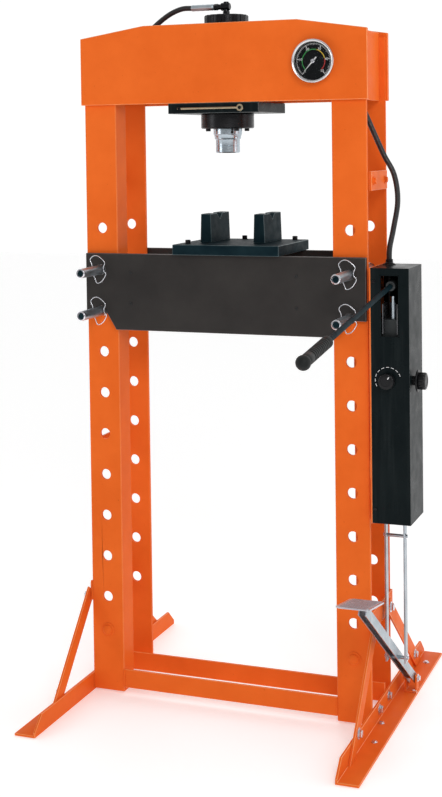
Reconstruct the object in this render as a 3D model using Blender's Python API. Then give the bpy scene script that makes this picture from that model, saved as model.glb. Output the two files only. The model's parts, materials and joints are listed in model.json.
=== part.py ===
"""Hydraulic shop press: an upright steel H-frame with a pin-adjustable bed, a hand and foot pumped
cylinder in the header, a pressure gauge, an arbor plate and a pair of V-blocks.

Design frame, in metres: X to the right with 0 midway between the columns, Y to the back with 0 at the
front face of the front uprights, Z up with 0 at the floor. The root empty moves the whole press so that
the world origin is the centre of its bounding box, on the floor.
"""

import math

import bmesh
import bpy
from mathutils import Matrix, Vector

# ---- driving dimensions ------------------------------------------------------------------------------
GAP = 0.0003
ROUND = 24
SMALL_ROUND = 12

COLUMN_INNER = 0.296
COLUMN_OUTER = 0.386
COLUMN_SHEET = 0.008
COLUMN_FLANGE = 0.062
COLUMN_BOTTOM = 0.0065
COLUMN_TOP = 1.740
FRAME_DEPTH = 0.195
HOLE_RADIUS = 0.014
HOLE_COUNT = 10
HOLE_PITCH = 0.110
TOP_HOLE_Z = 1.2497
EDGE = 0.0015

STRAP = 0.006
TOP_BATTEN = (1.348, 1.396)
MID_BATTEN = (0.630, 0.675)
LOW_BATTEN = (0.245, 0.295)
BATTEN_INSET = 0.018

HEADER_HALF = 0.392
HEADER_SHEET = 0.010
HEADER_BOTTOM = 1.575
HEADER_TOP = 1.779
HEADER_SHOULDER = 1.751
HEADER_FLAT_HALF = 0.210
WEB_INNER = 0.363
WEB_SHEET = 0.008

FOOT_FRONT = -0.335
FOOT_REAR = 0.560
FOOT_HEIGHT = 0.048
FOOT_OUTER = 0.444
FOOT_CHAMFER = 0.045
BRACE_WIDTH = 0.038
FRONT_BRACE = ((-0.210, 0.020), (0.010, 0.270))
REAR_BRACE = ((0.450, 0.018), (0.140, 0.270))
TIE_HEIGHT = (0.018, 0.067)
REAR_TIE_Y = 0.130

BED_HALF = 0.384
BED_SHEET = 0.012
BED_TOP = 1.183
BED_END_BOTTOM = 1.024
BED_BOTTOM = 0.981
BED_CHAMFER_OUTER = 0.324
BED_CHAMFER_INNER = 0.298
SPACER_X = 0.220
SPACER_RADIUS = 0.013
SPACER_Z = 1.020

PIN_RADIUS = 0.0125
PIN_FRONT = -0.135
PIN_REAR = 0.220
BED_HOLE_RADIUS = 0.0135
CLIP_WIRE = 0.0015
CLIP_Y = -0.030
CLIP_REACH = 0.040
CLIP_HALF = 0.0155

PLATE_X = 0.018
PLATE_HALF = 0.145
PLATE_FRONT = -0.030
PLATE_REAR = 0.225
PLATE_TOP = 1.210
BLOCK_FRONT = 0.060
BLOCK_REAR = 0.200
BLOCK_HEIGHT = 0.075
BLOCK_HALF = 0.0160
BLOCK_HALF_TOP = 0.0135
NOTCH_HALF = 0.020
NOTCH_DEPTH = 0.016
LEFT_BLOCK_X = -0.068
RIGHT_BLOCK_X = 0.080

CYLINDER_X = -0.017
CYLINDER_Y = FRAME_DEPTH / 2
BARREL_RADIUS = 0.052
BARREL_BOTTOM = 1.549
BARREL_TOP = 1.7697
RAM_RADIUS = 0.035
RAM_TOP = 1.720
SUPPORT_HALF = 0.1245
SUPPORT_BOTTOM = 1.548
COLLAR_RADIUS = 0.070
COLLAR_BOTTOM = 1.509
RING_RADIUS = 0.058
RING_TOP = 1.806
RING_NOTCHES = 8
FLARE_RADIUS = 0.038
NOSE_RADIUS = 0.032
NOSE_BOTTOM = 1.445

ELBOW_RADIUS = 0.009
ELBOW_TOP = 1.842
FERRULE_RADIUS = 0.0085
FERRULE_END = -0.110
HOSE_Z = 1.829
HOSE_RADIUS = 0.007
HOSE_SPACING = 0.034

ROD_RADIUS = 0.0028
ROD_LEFT = -0.114
ROD_EYE_X = 0.058
ROD_EYE_RADIUS = 0.009
ROD_Z = 1.561

GAUGE_X = 0.257
GAUGE_Z = 1.672
GAUGE_RADIUS = 0.055
GAUGE_FACE_RADIUS = 0.047
GAUGE_FRONT = -0.034
GAUGE_FLOOR = -0.018
DIAL_SHEET = 0.0015
NEEDLE_ANGLE = math.radians(222)
NEEDLE_LENGTH = 0.036

BOX_BACK = 0.3973
BOX_RIGHT = 0.494
BOX_FRONT = -0.020
BOX_REAR = 0.118
BOX_BOTTOM = 0.525
BOX_TOP = 1.159
BOX_SHEET = 0.003
BOX_PLATE = 0.004
SLOT = (0.423, 0.467, 0.990, 1.140)
BAR_OPENING = (0.3985, 0.462, 0.078, 0.112)

HANDLE_X = 0.445
HANDLE_PIVOT = (HANDLE_X, 0.060, 1.1215)
HANDLE_SLOPE = math.radians(6.61)
HANDLE_RADIUS = 0.0065
SOCKET_RADIUS = 0.012
SOCKET_REACH = 0.070
SOCKET_TAIL = 0.020
GRIP_START = 0.616
BALL_CENTRE = 0.7878
GRIP_RADIUS = 0.0135
BALL_RADIUS = 0.016

BODY_BOTTOM = 0.700
BODY_TOP = 1.030
PLUNGER_Y = 0.020
PLUNGER_RADIUS = 0.008
PLUNGER_BOTTOM = 0.955
PLUNGER_TOP = 1.087
EAR_OFFSET = 0.0175
EAR_SHEET = 0.005
PIVOT_RADIUS = 0.004

RELEASE_X = 0.440
RELEASE_Z = 0.882
RELEASE_RADIUS = 0.020
RELEASE_FRONT = -0.046
SIDE_KNOB_Y = 0.020
SIDE_KNOB_Z = 0.878
SIDE_KNOB_END = 0.527

LEVER_X = 0.4255
LEVER_HALF = 0.010
LEVER_DEPTH = 0.025
LEVER_SHEET = 0.003
LEVER_TAIL = 0.020
PEDAL_PIVOT = (LEVER_X, 0.2625, 0.040)
LEVER_TOP = (LEVER_X, -0.223, 0.3725)
TREAD_CENTRE = (0.4245, -0.242, 0.392)
TREAD_SIZE = (0.083, 0.138, 0.005)
TREAD_TILT = math.radians(9.6)
LINK_PIN = (LEVER_X, 0.100, 0.1513)
LINK_XS = (0.401, 0.450)
LINK_SHEET = 0.005
LINK_WIDTH = 0.020
LINK_TOP = 0.600
LINK_PIN_RADIUS = 0.0045
CROSS_PIN_Z = 0.465
CROSS_PIN = (0.3945, 0.4570)

CENTRE_X = (SIDE_KNOB_END - FOOT_OUTER) / 2
BALL_FRONT = HANDLE_PIVOT[1] - BALL_CENTRE * math.cos(HANDLE_SLOPE) - BALL_RADIUS
CENTRE_Y = (BALL_FRONT + FOOT_REAR) / 2

# Colour, roughness and metallic value of each finish.
FINISHES = {
    "orange_paint": ((0.78, 0.13, 0.016), 0.35, 0.0),
    "charcoal_paint": ((0.04, 0.036, 0.035), 0.45, 0.0),
    "black_paint": ((0.012, 0.014, 0.015), 0.30, 0.0),
    "slate_steel": ((0.05, 0.08, 0.09), 0.40, 0.6),
    "black_oxide": ((0.015, 0.015, 0.017), 0.30, 0.7),
    "chrome": ((0.80, 0.80, 0.82), 0.10, 1.0),
    "zinc_plate": ((0.55, 0.58, 0.62), 0.28, 1.0),
    "tread_steel": ((0.62, 0.62, 0.66), 0.35, 1.0),
    "grip_rubber": ((0.010, 0.010, 0.011), 0.60, 0.0),
    "hose_rubber": ((0.014, 0.014, 0.015), 0.45, 0.0),
    "knob_plastic": ((0.010, 0.010, 0.011), 0.35, 0.0),
    "gauge_case": ((0.62, 0.58, 0.57), 0.25, 1.0),
    "dial_face": ((0.012, 0.012, 0.014), 0.40, 0.0),
    "needle_paint": ((0.85, 0.85, 0.85), 0.40, 0.0),
    "cast_block": ((0.10, 0.11, 0.11), 0.50, 0.5),
}


# ---- scene and finishes --------------------------------------------------------------------------------
def clear_scene():
    """Empties the scene of objects."""
    for obj in list(bpy.data.objects):
        bpy.data.objects.remove(obj)


def make_finish(name):
    """The plain material of one finish."""
    color, roughness, metallic = FINISHES[name]
    material = bpy.data.materials.new(name)
    material.use_nodes = True
    shader = material.node_tree.nodes["Principled BSDF"]
    shader.inputs["Base Color"].default_value = (*color, 1.0)
    shader.inputs["Roughness"].default_value = roughness
    shader.inputs["Metallic"].default_value = metallic
    material.diffuse_color = (*color, 1.0)
    return material


def make_collection(name):
    """A new collection in the scene."""
    collection = bpy.data.collections.new(name)
    bpy.context.scene.collection.children.link(collection)
    return collection


clear_scene()
PARTS = make_collection("hydraulic_shop_press")
CUTTERS = make_collection("press_cutters")
CUTTERS.hide_render = True
MATERIALS = {name: make_finish(name) for name in FINISHES}


def add_empty(name, position, holder=None):
    """An empty on a joint axis, or the root when it has no holder."""
    empty = bpy.data.objects.new(name, None)
    empty.empty_display_size = 0.03
    PARTS.objects.link(empty)
    empty.parent = holder
    start = position_of[holder.name] if holder else (0.0, 0.0, 0.0)
    empty.location = Vector(position) - Vector(start)
    position_of[name] = tuple(position)
    return empty


# Design-frame position of every empty, by its name.
position_of = {}
ROOT = add_empty("press_root", (-CENTRE_X, -CENTRE_Y, 0.0))
position_of["press_root"] = (0.0, 0.0, 0.0)


# ---- shapes --------------------------------------------------------------------------------------------
def prism(outline, axis, low, high):
    """A straight bar whose flat outline lies across the axis named X, Y or Z."""
    index = "XYZ".index(axis)
    shape = bmesh.new()
    ends = []
    for level in (low, high):
        ring = []
        for pair in outline:
            point = list(pair)
            point.insert(index, level)
            ring.append(shape.verts.new(point))
        shape.faces.new(ring)
        ends.append(ring)
    for k in range(len(outline)):
        after = (k + 1) % len(outline)
        shape.faces.new((ends[0][k], ends[0][after], ends[1][after], ends[1][k]))
    bmesh.ops.recalc_face_normals(shape, faces=shape.faces)
    return shape


def block(x_range, y_range, z_range):
    """A box between three pairs of limits."""
    (x0, x1), (y0, y1) = x_range, y_range
    return prism([(x0, y0), (x1, y0), (x1, y1), (x0, y1)], "Z", *z_range)


def turned(profile, start, direction, sides=ROUND):
    """A turned shape. The profile lists (radius, distance along the axis) and, when it doesn't begin on
    the axis, closes on itself as a ring."""
    shape = bmesh.new()
    rings = []
    for radius, height in profile:
        if radius == 0:
            rings.append([shape.verts.new((0.0, 0.0, height))])
            continue
        angles = [math.tau * k / sides for k in range(sides)]
        rings.append([shape.verts.new((radius * math.cos(a), radius * math.sin(a), height)) for a in angles])
    pairs = list(zip(rings, rings[1:]))
    if len(rings[0]) > 1:
        pairs.append((rings[-1], rings[0]))
    for one, other in pairs:
        for k in range(sides):
            after = (k + 1) % sides
            if len(one) == 1:
                shape.faces.new((one[0], other[k], other[after]))
            elif len(other) == 1:
                shape.faces.new((one[k], other[0], one[after]))
            else:
                shape.faces.new((one[k], other[k], other[after], one[after]))
    turn = Vector((0, 0, 1)).rotation_difference(Vector(direction)).to_matrix().to_4x4()
    shape.transform(Matrix.Translation(start) @ turn)
    bmesh.ops.recalc_face_normals(shape, faces=shape.faces)
    return shape


def rod(start, end, radius, sides=ROUND, chamfer=0.0):
    """A round rod from one point to another, with chamfered ends if asked."""
    span = Vector(end) - Vector(start)
    length = span.length
    profile = [(0, 0), (radius - chamfer, 0), (radius, chamfer), (radius, length - chamfer)]
    profile += [(radius - chamfer, length), (0, length)]
    if chamfer == 0:
        profile = [(0, 0), (radius, 0), (radius, length), (0, length)]
    return turned(profile, Vector(start), span.normalized(), sides)


def joined(shapes):
    """Several shapes that don't touch, as one mesh."""
    whole = bmesh.new()
    for shape in shapes:
        mesh = bpy.data.meshes.new("joined")
        shape.to_mesh(mesh)
        shape.free()
        whole.from_mesh(mesh)
        bpy.data.meshes.remove(mesh)
    return whole


def bar_outline(start, end, width, floor):
    """Outline of a straight flat bar, square at its far end and cut level at the floor given."""
    (a0, b0), (a1, b1) = start, end
    length = math.hypot(a1 - a0, b1 - b0)
    along = ((a1 - a0) / length, (b1 - b0) / length)
    side = (-along[1] * width / 2, along[0] * width / 2)
    outline = []
    for sign in (1, -1):
        edge = (a1 + sign * side[0], b1 + sign * side[1])
        drop = (edge[1] - floor) / along[1]
        level = (edge[0] - along[0] * drop, floor)
        outline.append((edge, level))
    return [outline[0][1], outline[0][0], outline[1][0], outline[1][1]]


def make_object(name, shape, origin, holder, collection):
    """An object from a shape given in the design frame, with its origin where asked."""
    shape.transform(Matrix.Translation(-Vector(origin)))
    mesh = bpy.data.meshes.new(name)
    shape.to_mesh(mesh)
    shape.free()
    obj = bpy.data.objects.new(name, mesh)
    collection.objects.link(obj)
    obj.parent = holder
    obj.location = Vector(origin) - Vector(position_of[holder.name])
    return obj


def add_piece(name, shape, finish, origin=(0, 0, 0), holder=None, cuts=(), adds=(), smooth=False):
    """One sub-part. Shapes in adds are fused to it, then shapes in cuts are taken away."""
    holder = holder or ROOT
    obj = make_object(name, shape, origin, holder, PARTS)
    obj.data.materials.append(MATERIALS[finish])
    work = [("UNION", extra) for extra in adds] + [("DIFFERENCE", cut) for cut in cuts]
    for number, (operation, tool_shape) in enumerate(work):
        tool = make_object(f"{name}_tool_{number}", tool_shape, origin, holder, CUTTERS)
        tool.hide_render = True
        tool.display_type = "WIRE"
        modifier = obj.modifiers.new(f"shape_{number}", "BOOLEAN")
        modifier.object = tool
        modifier.operation = operation
        modifier.solver = "EXACT"
    if smooth:
        for face in obj.data.polygons:
            face.use_smooth = True
    return obj


def sides():
    """Name and sign of the left and the right side."""
    return (("left", -1), ("right", 1))


def span(side, inner, outer):
    """X limits of something on one side, lowest first."""
    return tuple(sorted((side * inner, side * outer)))


def column_middle():
    """Distance of a column's hole line from the middle of the press."""
    return (COLUMN_INNER + COLUMN_OUTER) / 2


# ---- frame ---------------------------------------------------------------------------------------------
def column_holes(side):
    """Cutter for the row of height holes through both uprights of a column."""
    x = side * column_middle()
    heights = [TOP_HOLE_Z - HOLE_PITCH * k for k in range(HOLE_COUNT)]
    return joined([rod((x, -0.02, z), (x, FRAME_DEPTH + 0.02, z), HOLE_RADIUS) for z in heights])


def front_upright(side):
    """Angle section with its flange at the inner edge, running back."""
    outline = [
        (COLUMN_INNER + EDGE, 0),
        (COLUMN_OUTER - EDGE, 0),
        (COLUMN_OUTER, EDGE),
        (COLUMN_OUTER, COLUMN_SHEET),
        (COLUMN_INNER + COLUMN_SHEET, COLUMN_SHEET),
        (COLUMN_INNER + COLUMN_SHEET, COLUMN_FLANGE),
        (COLUMN_INNER, COLUMN_FLANGE),
        (COLUMN_INNER, EDGE),
    ]
    return prism([(side * x, y) for x, y in outline], "Z", COLUMN_BOTTOM, COLUMN_TOP)


def rear_upright(side):
    """Flat bar."""
    depth = (FRAME_DEPTH - COLUMN_SHEET, FRAME_DEPTH)
    return block(span(side, COLUMN_INNER, COLUMN_OUTER), depth, (COLUMN_BOTTOM, COLUMN_TOP))


def batten(side, heights, inset):
    """Strap across the outer side of a column, tying its front and rear uprights, set in from both."""
    depth = (inset, FRAME_DEPTH - inset)
    return block(span(side, COLUMN_OUTER + GAP, COLUMN_OUTER + GAP + STRAP), depth, heights)


def foot(side):
    """Angle iron lying along the press, with both ends of its standing leg cut to a slope."""
    inner = COLUMN_OUTER + GAP
    outline = [
        (inner, 0),
        (FOOT_OUTER, 0),
        (FOOT_OUTER, STRAP),
        (inner + STRAP, STRAP),
        (inner + STRAP, FOOT_HEIGHT),
        (inner, FOOT_HEIGHT),
    ]
    return prism([(side * x, z) for x, z in outline], "Y", FOOT_FRONT, FOOT_REAR)


def foot_ends(side):
    """Cutter for the sloping ends of a foot's standing leg."""
    x_range = span(side, COLUMN_OUTER - 0.01, FOOT_OUTER + 0.01)
    low = STRAP + 0.006
    high = FOOT_HEIGHT + 0.004
    wedges = []
    for end, inward in ((FOOT_FRONT, 1), (FOOT_REAR, -1)):
        outline = [(end - inward * 0.01, low), (end, low), (end + inward * FOOT_CHAMFER, high)]
        outline.append((end - inward * 0.01, high))
        wedges.append(prism(outline, "X", *x_range))
    return joined(wedges)


def brace(side, line):
    """Flat bar sloping from a foot up to the low batten."""
    inner = COLUMN_OUTER + STRAP + 2 * GAP
    outline = bar_outline(line[0], line[1], BRACE_WIDTH, STRAP + GAP)
    return prism(outline, "X", *span(side, inner, inner + STRAP))


def build_frame():
    for name, side in sides():
        holes = [column_holes(side)]
        add_piece(f"upright_front_{name}", front_upright(side), "orange_paint", cuts=holes)
        holes = [column_holes(side)]
        add_piece(f"upright_rear_{name}", rear_upright(side), "orange_paint", cuts=holes)
        add_piece(f"batten_top_{name}", batten(side, TOP_BATTEN, BATTEN_INSET), "orange_paint")
        add_piece(f"batten_low_{name}", batten(side, LOW_BATTEN, 0), "orange_paint")
        add_piece(f"foot_{name}", foot(side), "orange_paint", cuts=[foot_ends(side)])
        add_piece(f"brace_front_{name}", brace(side, FRONT_BRACE), "orange_paint")
        add_piece(f"brace_rear_{name}", brace(side, REAR_BRACE), "orange_paint")
    add_piece("batten_mid_left", batten(-1, MID_BATTEN, BATTEN_INSET), "orange_paint")
    front_reach = COLUMN_INNER - GAP
    rear_reach = COLUMN_OUTER
    front = block((-front_reach, front_reach), (0, STRAP), TIE_HEIGHT)
    rear = block((-rear_reach, rear_reach), (REAR_TIE_Y, REAR_TIE_Y + STRAP), TIE_HEIGHT)
    add_piece("cross_member_front", front, "orange_paint")
    add_piece("cross_member_rear", rear, "orange_paint")


def header_plate(front):
    """Header plate with a flat top that slopes down to both ends."""
    outline = [
        (-HEADER_HALF, HEADER_BOTTOM),
        (HEADER_HALF, HEADER_BOTTOM),
        (HEADER_HALF, HEADER_SHOULDER),
        (HEADER_FLAT_HALF, HEADER_TOP),
        (-HEADER_FLAT_HALF, HEADER_TOP),
        (-HEADER_HALF, HEADER_SHOULDER),
    ]
    return prism(outline, "Y", front, front + HEADER_SHEET)


def build_header():
    add_piece("header_front", header_plate(-GAP - HEADER_SHEET), "orange_paint")
    add_piece("header_rear", header_plate(FRAME_DEPTH + GAP), "orange_paint")
    depth = (COLUMN_SHEET + GAP, FRAME_DEPTH - COLUMN_SHEET - GAP)
    for name, side in sides():
        web = block(span(side, WEB_INNER, WEB_INNER + WEB_SHEET), depth, (HEADER_BOTTOM, HEADER_SHOULDER))
        add_piece(f"header_web_{name}", web, "orange_paint")


def bed_plate(front):
    """Bed plate, deeper between the columns, with its lower corners cut to a slope."""
    half = [
        (BED_HALF, BED_TOP),
        (BED_HALF, BED_END_BOTTOM),
        (BED_CHAMFER_OUTER, BED_END_BOTTOM),
        (BED_CHAMFER_INNER, BED_BOTTOM),
    ]
    outline = half + [(-x, z) for x, z in reversed(half)]
    return prism(outline, "Y", front, front + BED_SHEET)


def bed_holes():
    """Cutter for the upper pin holes and for the half-round seats that rest on the lower pins."""
    rods = []
    for _, side in sides():
        x = side * column_middle()
        for hole in (1, 2):
            z = TOP_HOLE_Z - HOLE_PITCH * hole
            rods.append(rod((x, -0.03, z), (x, FRAME_DEPTH + 0.03, z), BED_HOLE_RADIUS))
    return joined(rods)


def build_bed():
    add_piece("bed_front", bed_plate(-GAP - BED_SHEET), "charcoal_paint", cuts=[bed_holes()])
    add_piece("bed_rear", bed_plate(FRAME_DEPTH + GAP), "charcoal_paint", cuts=[bed_holes()])
    for name, side in sides():
        x = side * SPACER_X
        spacer = rod((x, 0, SPACER_Z), (x, FRAME_DEPTH, SPACER_Z), SPACER_RADIUS)
        add_piece(f"bed_spacer_{name}", spacer, "charcoal_paint")


# ---- pins, clips, arbor plate and V-blocks -------------------------------------------------------------
def clip_loop(x, z):
    """Closed wire loop round a pin: it clasps the pin at both sides and runs to a point above and below."""
    waist = PIN_RADIUS + CLIP_WIRE + GAP
    path = [(0.003, CLIP_REACH), (CLIP_HALF, waist), (waist, 0), (CLIP_HALF, -waist), (0.003, -CLIP_REACH)]
    path += [(-across, -up) for across, up in path]
    shape = bmesh.new()
    count = len(path)
    rings = []
    for k, (across, up) in enumerate(path):
        before = Vector(path[k - 1])
        after = Vector(path[(k + 1) % count])
        along = (after - before).normalized()
        outward = Vector((along.y, -along.x))
        ring = []
        for step in range(6):
            angle = math.tau * step / 6
            offset = outward * CLIP_WIRE * math.cos(angle)
            depth = CLIP_Y + CLIP_WIRE * math.sin(angle)
            ring.append(shape.verts.new((x + across + offset.x, depth, z + up + offset.y)))
        rings.append(ring)
    for k in range(count):
        one, other = rings[k], rings[(k + 1) % count]
        for step in range(6):
            after = (step + 1) % 6
            shape.faces.new((one[step], one[after], other[after], other[step]))
    bmesh.ops.recalc_face_normals(shape, faces=shape.faces)
    return shape


def build_pins():
    for name, side in sides():
        x = side * column_middle()
        for row, hole in (("upper", 1), ("lower", 2)):
            z = TOP_HOLE_Z - HOLE_PITCH * hole
            origin = (x, PIN_FRONT, z)
            pin = rod(origin, (x, PIN_REAR, z), PIN_RADIUS, ROUND, 0.003)
            add_piece(f"bed_pin_{row}_{name}", pin, "zinc_plate", origin, smooth=True)
            clip = clip_loop(x, z)
            add_piece(f"pin_clip_{row}_{name}", clip, "zinc_plate", origin, smooth=True)


def v_block(x):
    """Block with a V across its top and sides that widen towards its base."""
    low = PLATE_TOP + GAP
    high = low + BLOCK_HEIGHT
    middle = (BLOCK_FRONT + BLOCK_REAR) / 2
    outline = [
        (BLOCK_FRONT, low),
        (BLOCK_REAR, low),
        (BLOCK_REAR, high),
        (middle + NOTCH_HALF, high),
        (middle, high - NOTCH_DEPTH),
        (middle - NOTCH_HALF, high),
        (BLOCK_FRONT, high),
    ]
    shape = prism(outline, "X", -1, 1)
    for vertex in shape.verts:
        share = (vertex.co.z - low) / BLOCK_HEIGHT
        vertex.co.x = x + vertex.co.x * (BLOCK_HALF + (BLOCK_HALF_TOP - BLOCK_HALF) * share)
    return shape


def build_tooling():
    low = BED_TOP + GAP
    x_range = (PLATE_X - PLATE_HALF, PLATE_X + PLATE_HALF)
    plate = block(x_range, (PLATE_FRONT, PLATE_REAR), (low, PLATE_TOP))
    add_piece("arbor_plate", plate, "slate_steel", (PLATE_X, CYLINDER_Y, low))
    for name, x in (("left", LEFT_BLOCK_X), ("right", RIGHT_BLOCK_X)):
        origin = (x, (BLOCK_FRONT + BLOCK_REAR) / 2, PLATE_TOP + GAP)
        add_piece(f"v_block_{name}", v_block(x), "slate_steel", origin)


# ---- cylinder, hose and gauge --------------------------------------------------------------------------
def cylinder_axis(z):
    """A point on the cylinder's axis at the height given."""
    return Vector((CYLINDER_X, CYLINDER_Y, z))


def turned_on_cylinder(heights_and_radii, sides_count=32):
    """A turned shape on the cylinder's axis, from (radius, height above the floor) pairs."""
    return turned(heights_and_radii, cylinder_axis(0), (0, 0, 1), sides_count)


def barrel():
    """Barrel with a blind bore that opens downwards."""
    bore = RAM_RADIUS + GAP
    return turned_on_cylinder([
        (0, BARREL_TOP),
        (BARREL_RADIUS, BARREL_TOP),
        (BARREL_RADIUS, BARREL_BOTTOM),
        (bore, BARREL_BOTTOM),
        (bore, RAM_TOP + 0.010),
        (0, RAM_TOP + 0.010),
    ])


def ring_nut():
    """Cap nut over the barrel, with grip notches round its rim."""
    low = BARREL_TOP + GAP
    edge = 0.003
    return turned_on_cylinder([
        (0, low),
        (RING_RADIUS - edge, low),
        (RING_RADIUS, low + edge),
        (RING_RADIUS, RING_TOP - edge),
        (RING_RADIUS - edge, RING_TOP),
        (0, RING_TOP),
    ])


def ring_nut_notches():
    """Cutter for the grip notches."""
    notches = []
    for k in range(RING_NOTCHES):
        angle = math.tau * (k + 0.5) / RING_NOTCHES
        x = CYLINDER_X + RING_RADIUS * math.cos(angle)
        y = CYLINDER_Y + RING_RADIUS * math.sin(angle)
        notches.append(rod((x, y, BARREL_TOP - 0.01), (x, y, RING_TOP + 0.01), 0.005, 8))
    return joined(notches)


def ram():
    """Ram: the rod in the barrel, then a flare, a groove and the nose."""
    flare_top = COLLAR_BOTTOM - GAP
    return turned_on_cylinder([
        (0, RAM_TOP),
        (RAM_RADIUS, RAM_TOP),
        (RAM_RADIUS, flare_top),
        (FLARE_RADIUS, flare_top),
        (FLARE_RADIUS, flare_top - 0.016),
        (RAM_RADIUS, flare_top - 0.0215),
        (RAM_RADIUS, flare_top - 0.026),
        (NOSE_RADIUS, flare_top - 0.029),
        (NOSE_RADIUS, NOSE_BOTTOM + 0.002),
        (NOSE_RADIUS - 0.002, NOSE_BOTTOM),
        (0, NOSE_BOTTOM),
    ])


def build_cylinder():
    add_piece("cylinder_barrel", barrel(), "black_oxide", smooth=False)
    hole = rod(cylinder_axis(1.5), cylinder_axis(1.6), BARREL_RADIUS + GAP, 32)
    x_range = (CYLINDER_X - SUPPORT_HALF, CYLINDER_X + SUPPORT_HALF)
    y_range = (-HEADER_SHEET - GAP, FRAME_DEPTH + HEADER_SHEET + GAP)
    support = block(x_range, y_range, (SUPPORT_BOTTOM, HEADER_BOTTOM - GAP))
    add_piece("support_plate", support, "black_oxide", cuts=[hole])
    top = SUPPORT_BOTTOM - GAP
    bore = RAM_RADIUS + GAP
    collar = [(COLLAR_RADIUS, top), (COLLAR_RADIUS, COLLAR_BOTTOM), (bore, COLLAR_BOTTOM), (bore, top)]
    add_piece("cylinder_collar", turned_on_cylinder(collar, 40), "black_oxide")
    add_piece("ring_nut", ring_nut(), "black_oxide", cuts=[ring_nut_notches()])
    add_piece("ram", ram(), "chrome", (CYLINDER_X, CYLINDER_Y, NOSE_BOTTOM))


def build_locking_rod():
    """Slim rod with an eye at its right end, lying along the front of the support plate."""
    y = -HEADER_SHEET - 2 * GAP - ROD_RADIUS
    bar = rod((ROD_LEFT, y, ROD_Z), (ROD_EYE_X - 0.004, y, ROD_Z), ROD_RADIUS, SMALL_ROUND)
    eye_front = (ROD_EYE_X, y - ROD_RADIUS + 0.0002, ROD_Z)
    eye_back = (ROD_EYE_X, y + ROD_RADIUS - 0.0002, ROD_Z)
    add_piece("locking_rod", bar, "zinc_plate", adds=[rod(eye_front, eye_back, ROD_EYE_RADIUS, SMALL_ROUND)])


def build_elbow():
    """Fitting on the ring nut that turns the hose to the left."""
    stem = rod(cylinder_axis(RING_TOP + GAP), cylinder_axis(ELBOW_TOP), ELBOW_RADIUS, ROUND)
    head = rod(cylinder_axis(HOSE_Z), (FERRULE_END, CYLINDER_Y, HOSE_Z), FERRULE_RADIUS, ROUND)
    add_piece("hose_elbow", stem, "black_oxide", adds=[head])


# Where the hose runs, from the pump box to the elbow.
HOSE_ROUTE = [
    (0.420, 0.081, BOX_TOP + GAP),
    (0.421, 0.082, 1.200),
    (0.430, 0.088, 1.250),
    (0.440, 0.094, 1.320),
    (0.431, 0.096, 1.385),
    (0.405, 0.097, 1.435),
    (0.380, 0.097, 1.490),
    (0.358, 0.097, 1.540),
    (0.335, 0.100, 1.590),
    (0.300, 0.115, 1.635),
    (0.250, 0.140, 1.650),
    (0.180, 0.165, 1.652),
    (0.080, 0.176, 1.652),
    (-0.020, 0.177, 1.652),
    (-0.120, 0.174, 1.652),
    (-0.195, 0.165, 1.655),
    (-0.255, 0.147, 1.669),
    (-0.286, 0.126, 1.702),
    (-0.276, 0.108, 1.740),
    (-0.243, 0.0995, 1.768),
    (-0.208, CYLINDER_Y, 1.796),
    (-0.175, CYLINDER_Y, 1.817),
    (-0.142, CYLINDER_Y, HOSE_Z - 0.0005),
    (FERRULE_END - 2 * GAP, CYLINDER_Y, HOSE_Z),
]


def smooth_route(points, spacing):
    """Evenly spaced points along the smooth curve through the points given, ends included."""
    knots = [Vector(p) for p in points]
    padded = [2 * knots[0] - knots[1]] + knots + [2 * knots[-1] - knots[-2]]
    dense = []
    for a, b, c, d in zip(padded, padded[1:], padded[2:], padded[3:]):
        for step in range(20):
            t = step / 20
            bend = 2 * b + (c - a) * t + (2 * a - 5 * b + 4 * c - d) * t**2
            dense.append((bend + (3 * b - a - 3 * c + d) * t**3) / 2)
    dense.append(knots[-1])
    reach = [0.0]
    for one, other in zip(dense, dense[1:]):
        reach.append(reach[-1] + (other - one).length)
    count = round(reach[-1] / spacing)
    even = []
    index = 0
    for step in range(count):
        target = reach[-1] * step / count
        while reach[index + 1] < target:
            index += 1
        share = (target - reach[index]) / (reach[index + 1] - reach[index])
        even.append(dense[index].lerp(dense[index + 1], share))
    even.append(dense[-1])
    return even


def build_hose():
    """High-pressure hose, a round tube along its route."""
    points = smooth_route(HOSE_ROUTE, HOSE_SPACING)
    curve = bpy.data.curves.new("hydraulic_hose", "CURVE")
    curve.dimensions = "3D"
    spline = curve.splines.new("POLY")
    spline.points.add(len(points) - 1)
    for place, point in zip(spline.points, points):
        place.co = (*point, 1.0)
    curve.bevel_depth = HOSE_RADIUS
    curve.bevel_resolution = 2
    curve.use_fill_caps = True
    curve.materials.append(MATERIALS["hose_rubber"])
    hose = bpy.data.objects.new("hydraulic_hose", curve)
    PARTS.objects.link(hose)
    hose.parent = ROOT


def needle():
    """Pointer with a round hub and a short tail, as one flat piece."""
    aim = Vector((math.sin(NEEDLE_ANGLE), math.cos(NEEDLE_ANGLE)))
    side = Vector((aim.y, -aim.x))
    middle = Vector((GAUGE_X, GAUGE_Z))
    outline = [middle + aim * NEEDLE_LENGTH]
    for along, across in ((0.004, 0.0015), (0.0025, 0.004), (-0.0025, 0.004), (-0.004, 0.0015)):
        outline.append(middle + aim * along + side * across)
    outline.append(middle - aim * 0.013 + side * 0.0015)
    outline.append(middle - aim * 0.013 - side * 0.0015)
    for along, across in ((-0.004, 0.0015), (-0.0025, 0.004), (0.0025, 0.004), (0.004, 0.0015)):
        outline.append(middle + aim * along - side * across)
    return prism([tuple(p) for p in outline], "Y", -0.0262, -0.0248)


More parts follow.
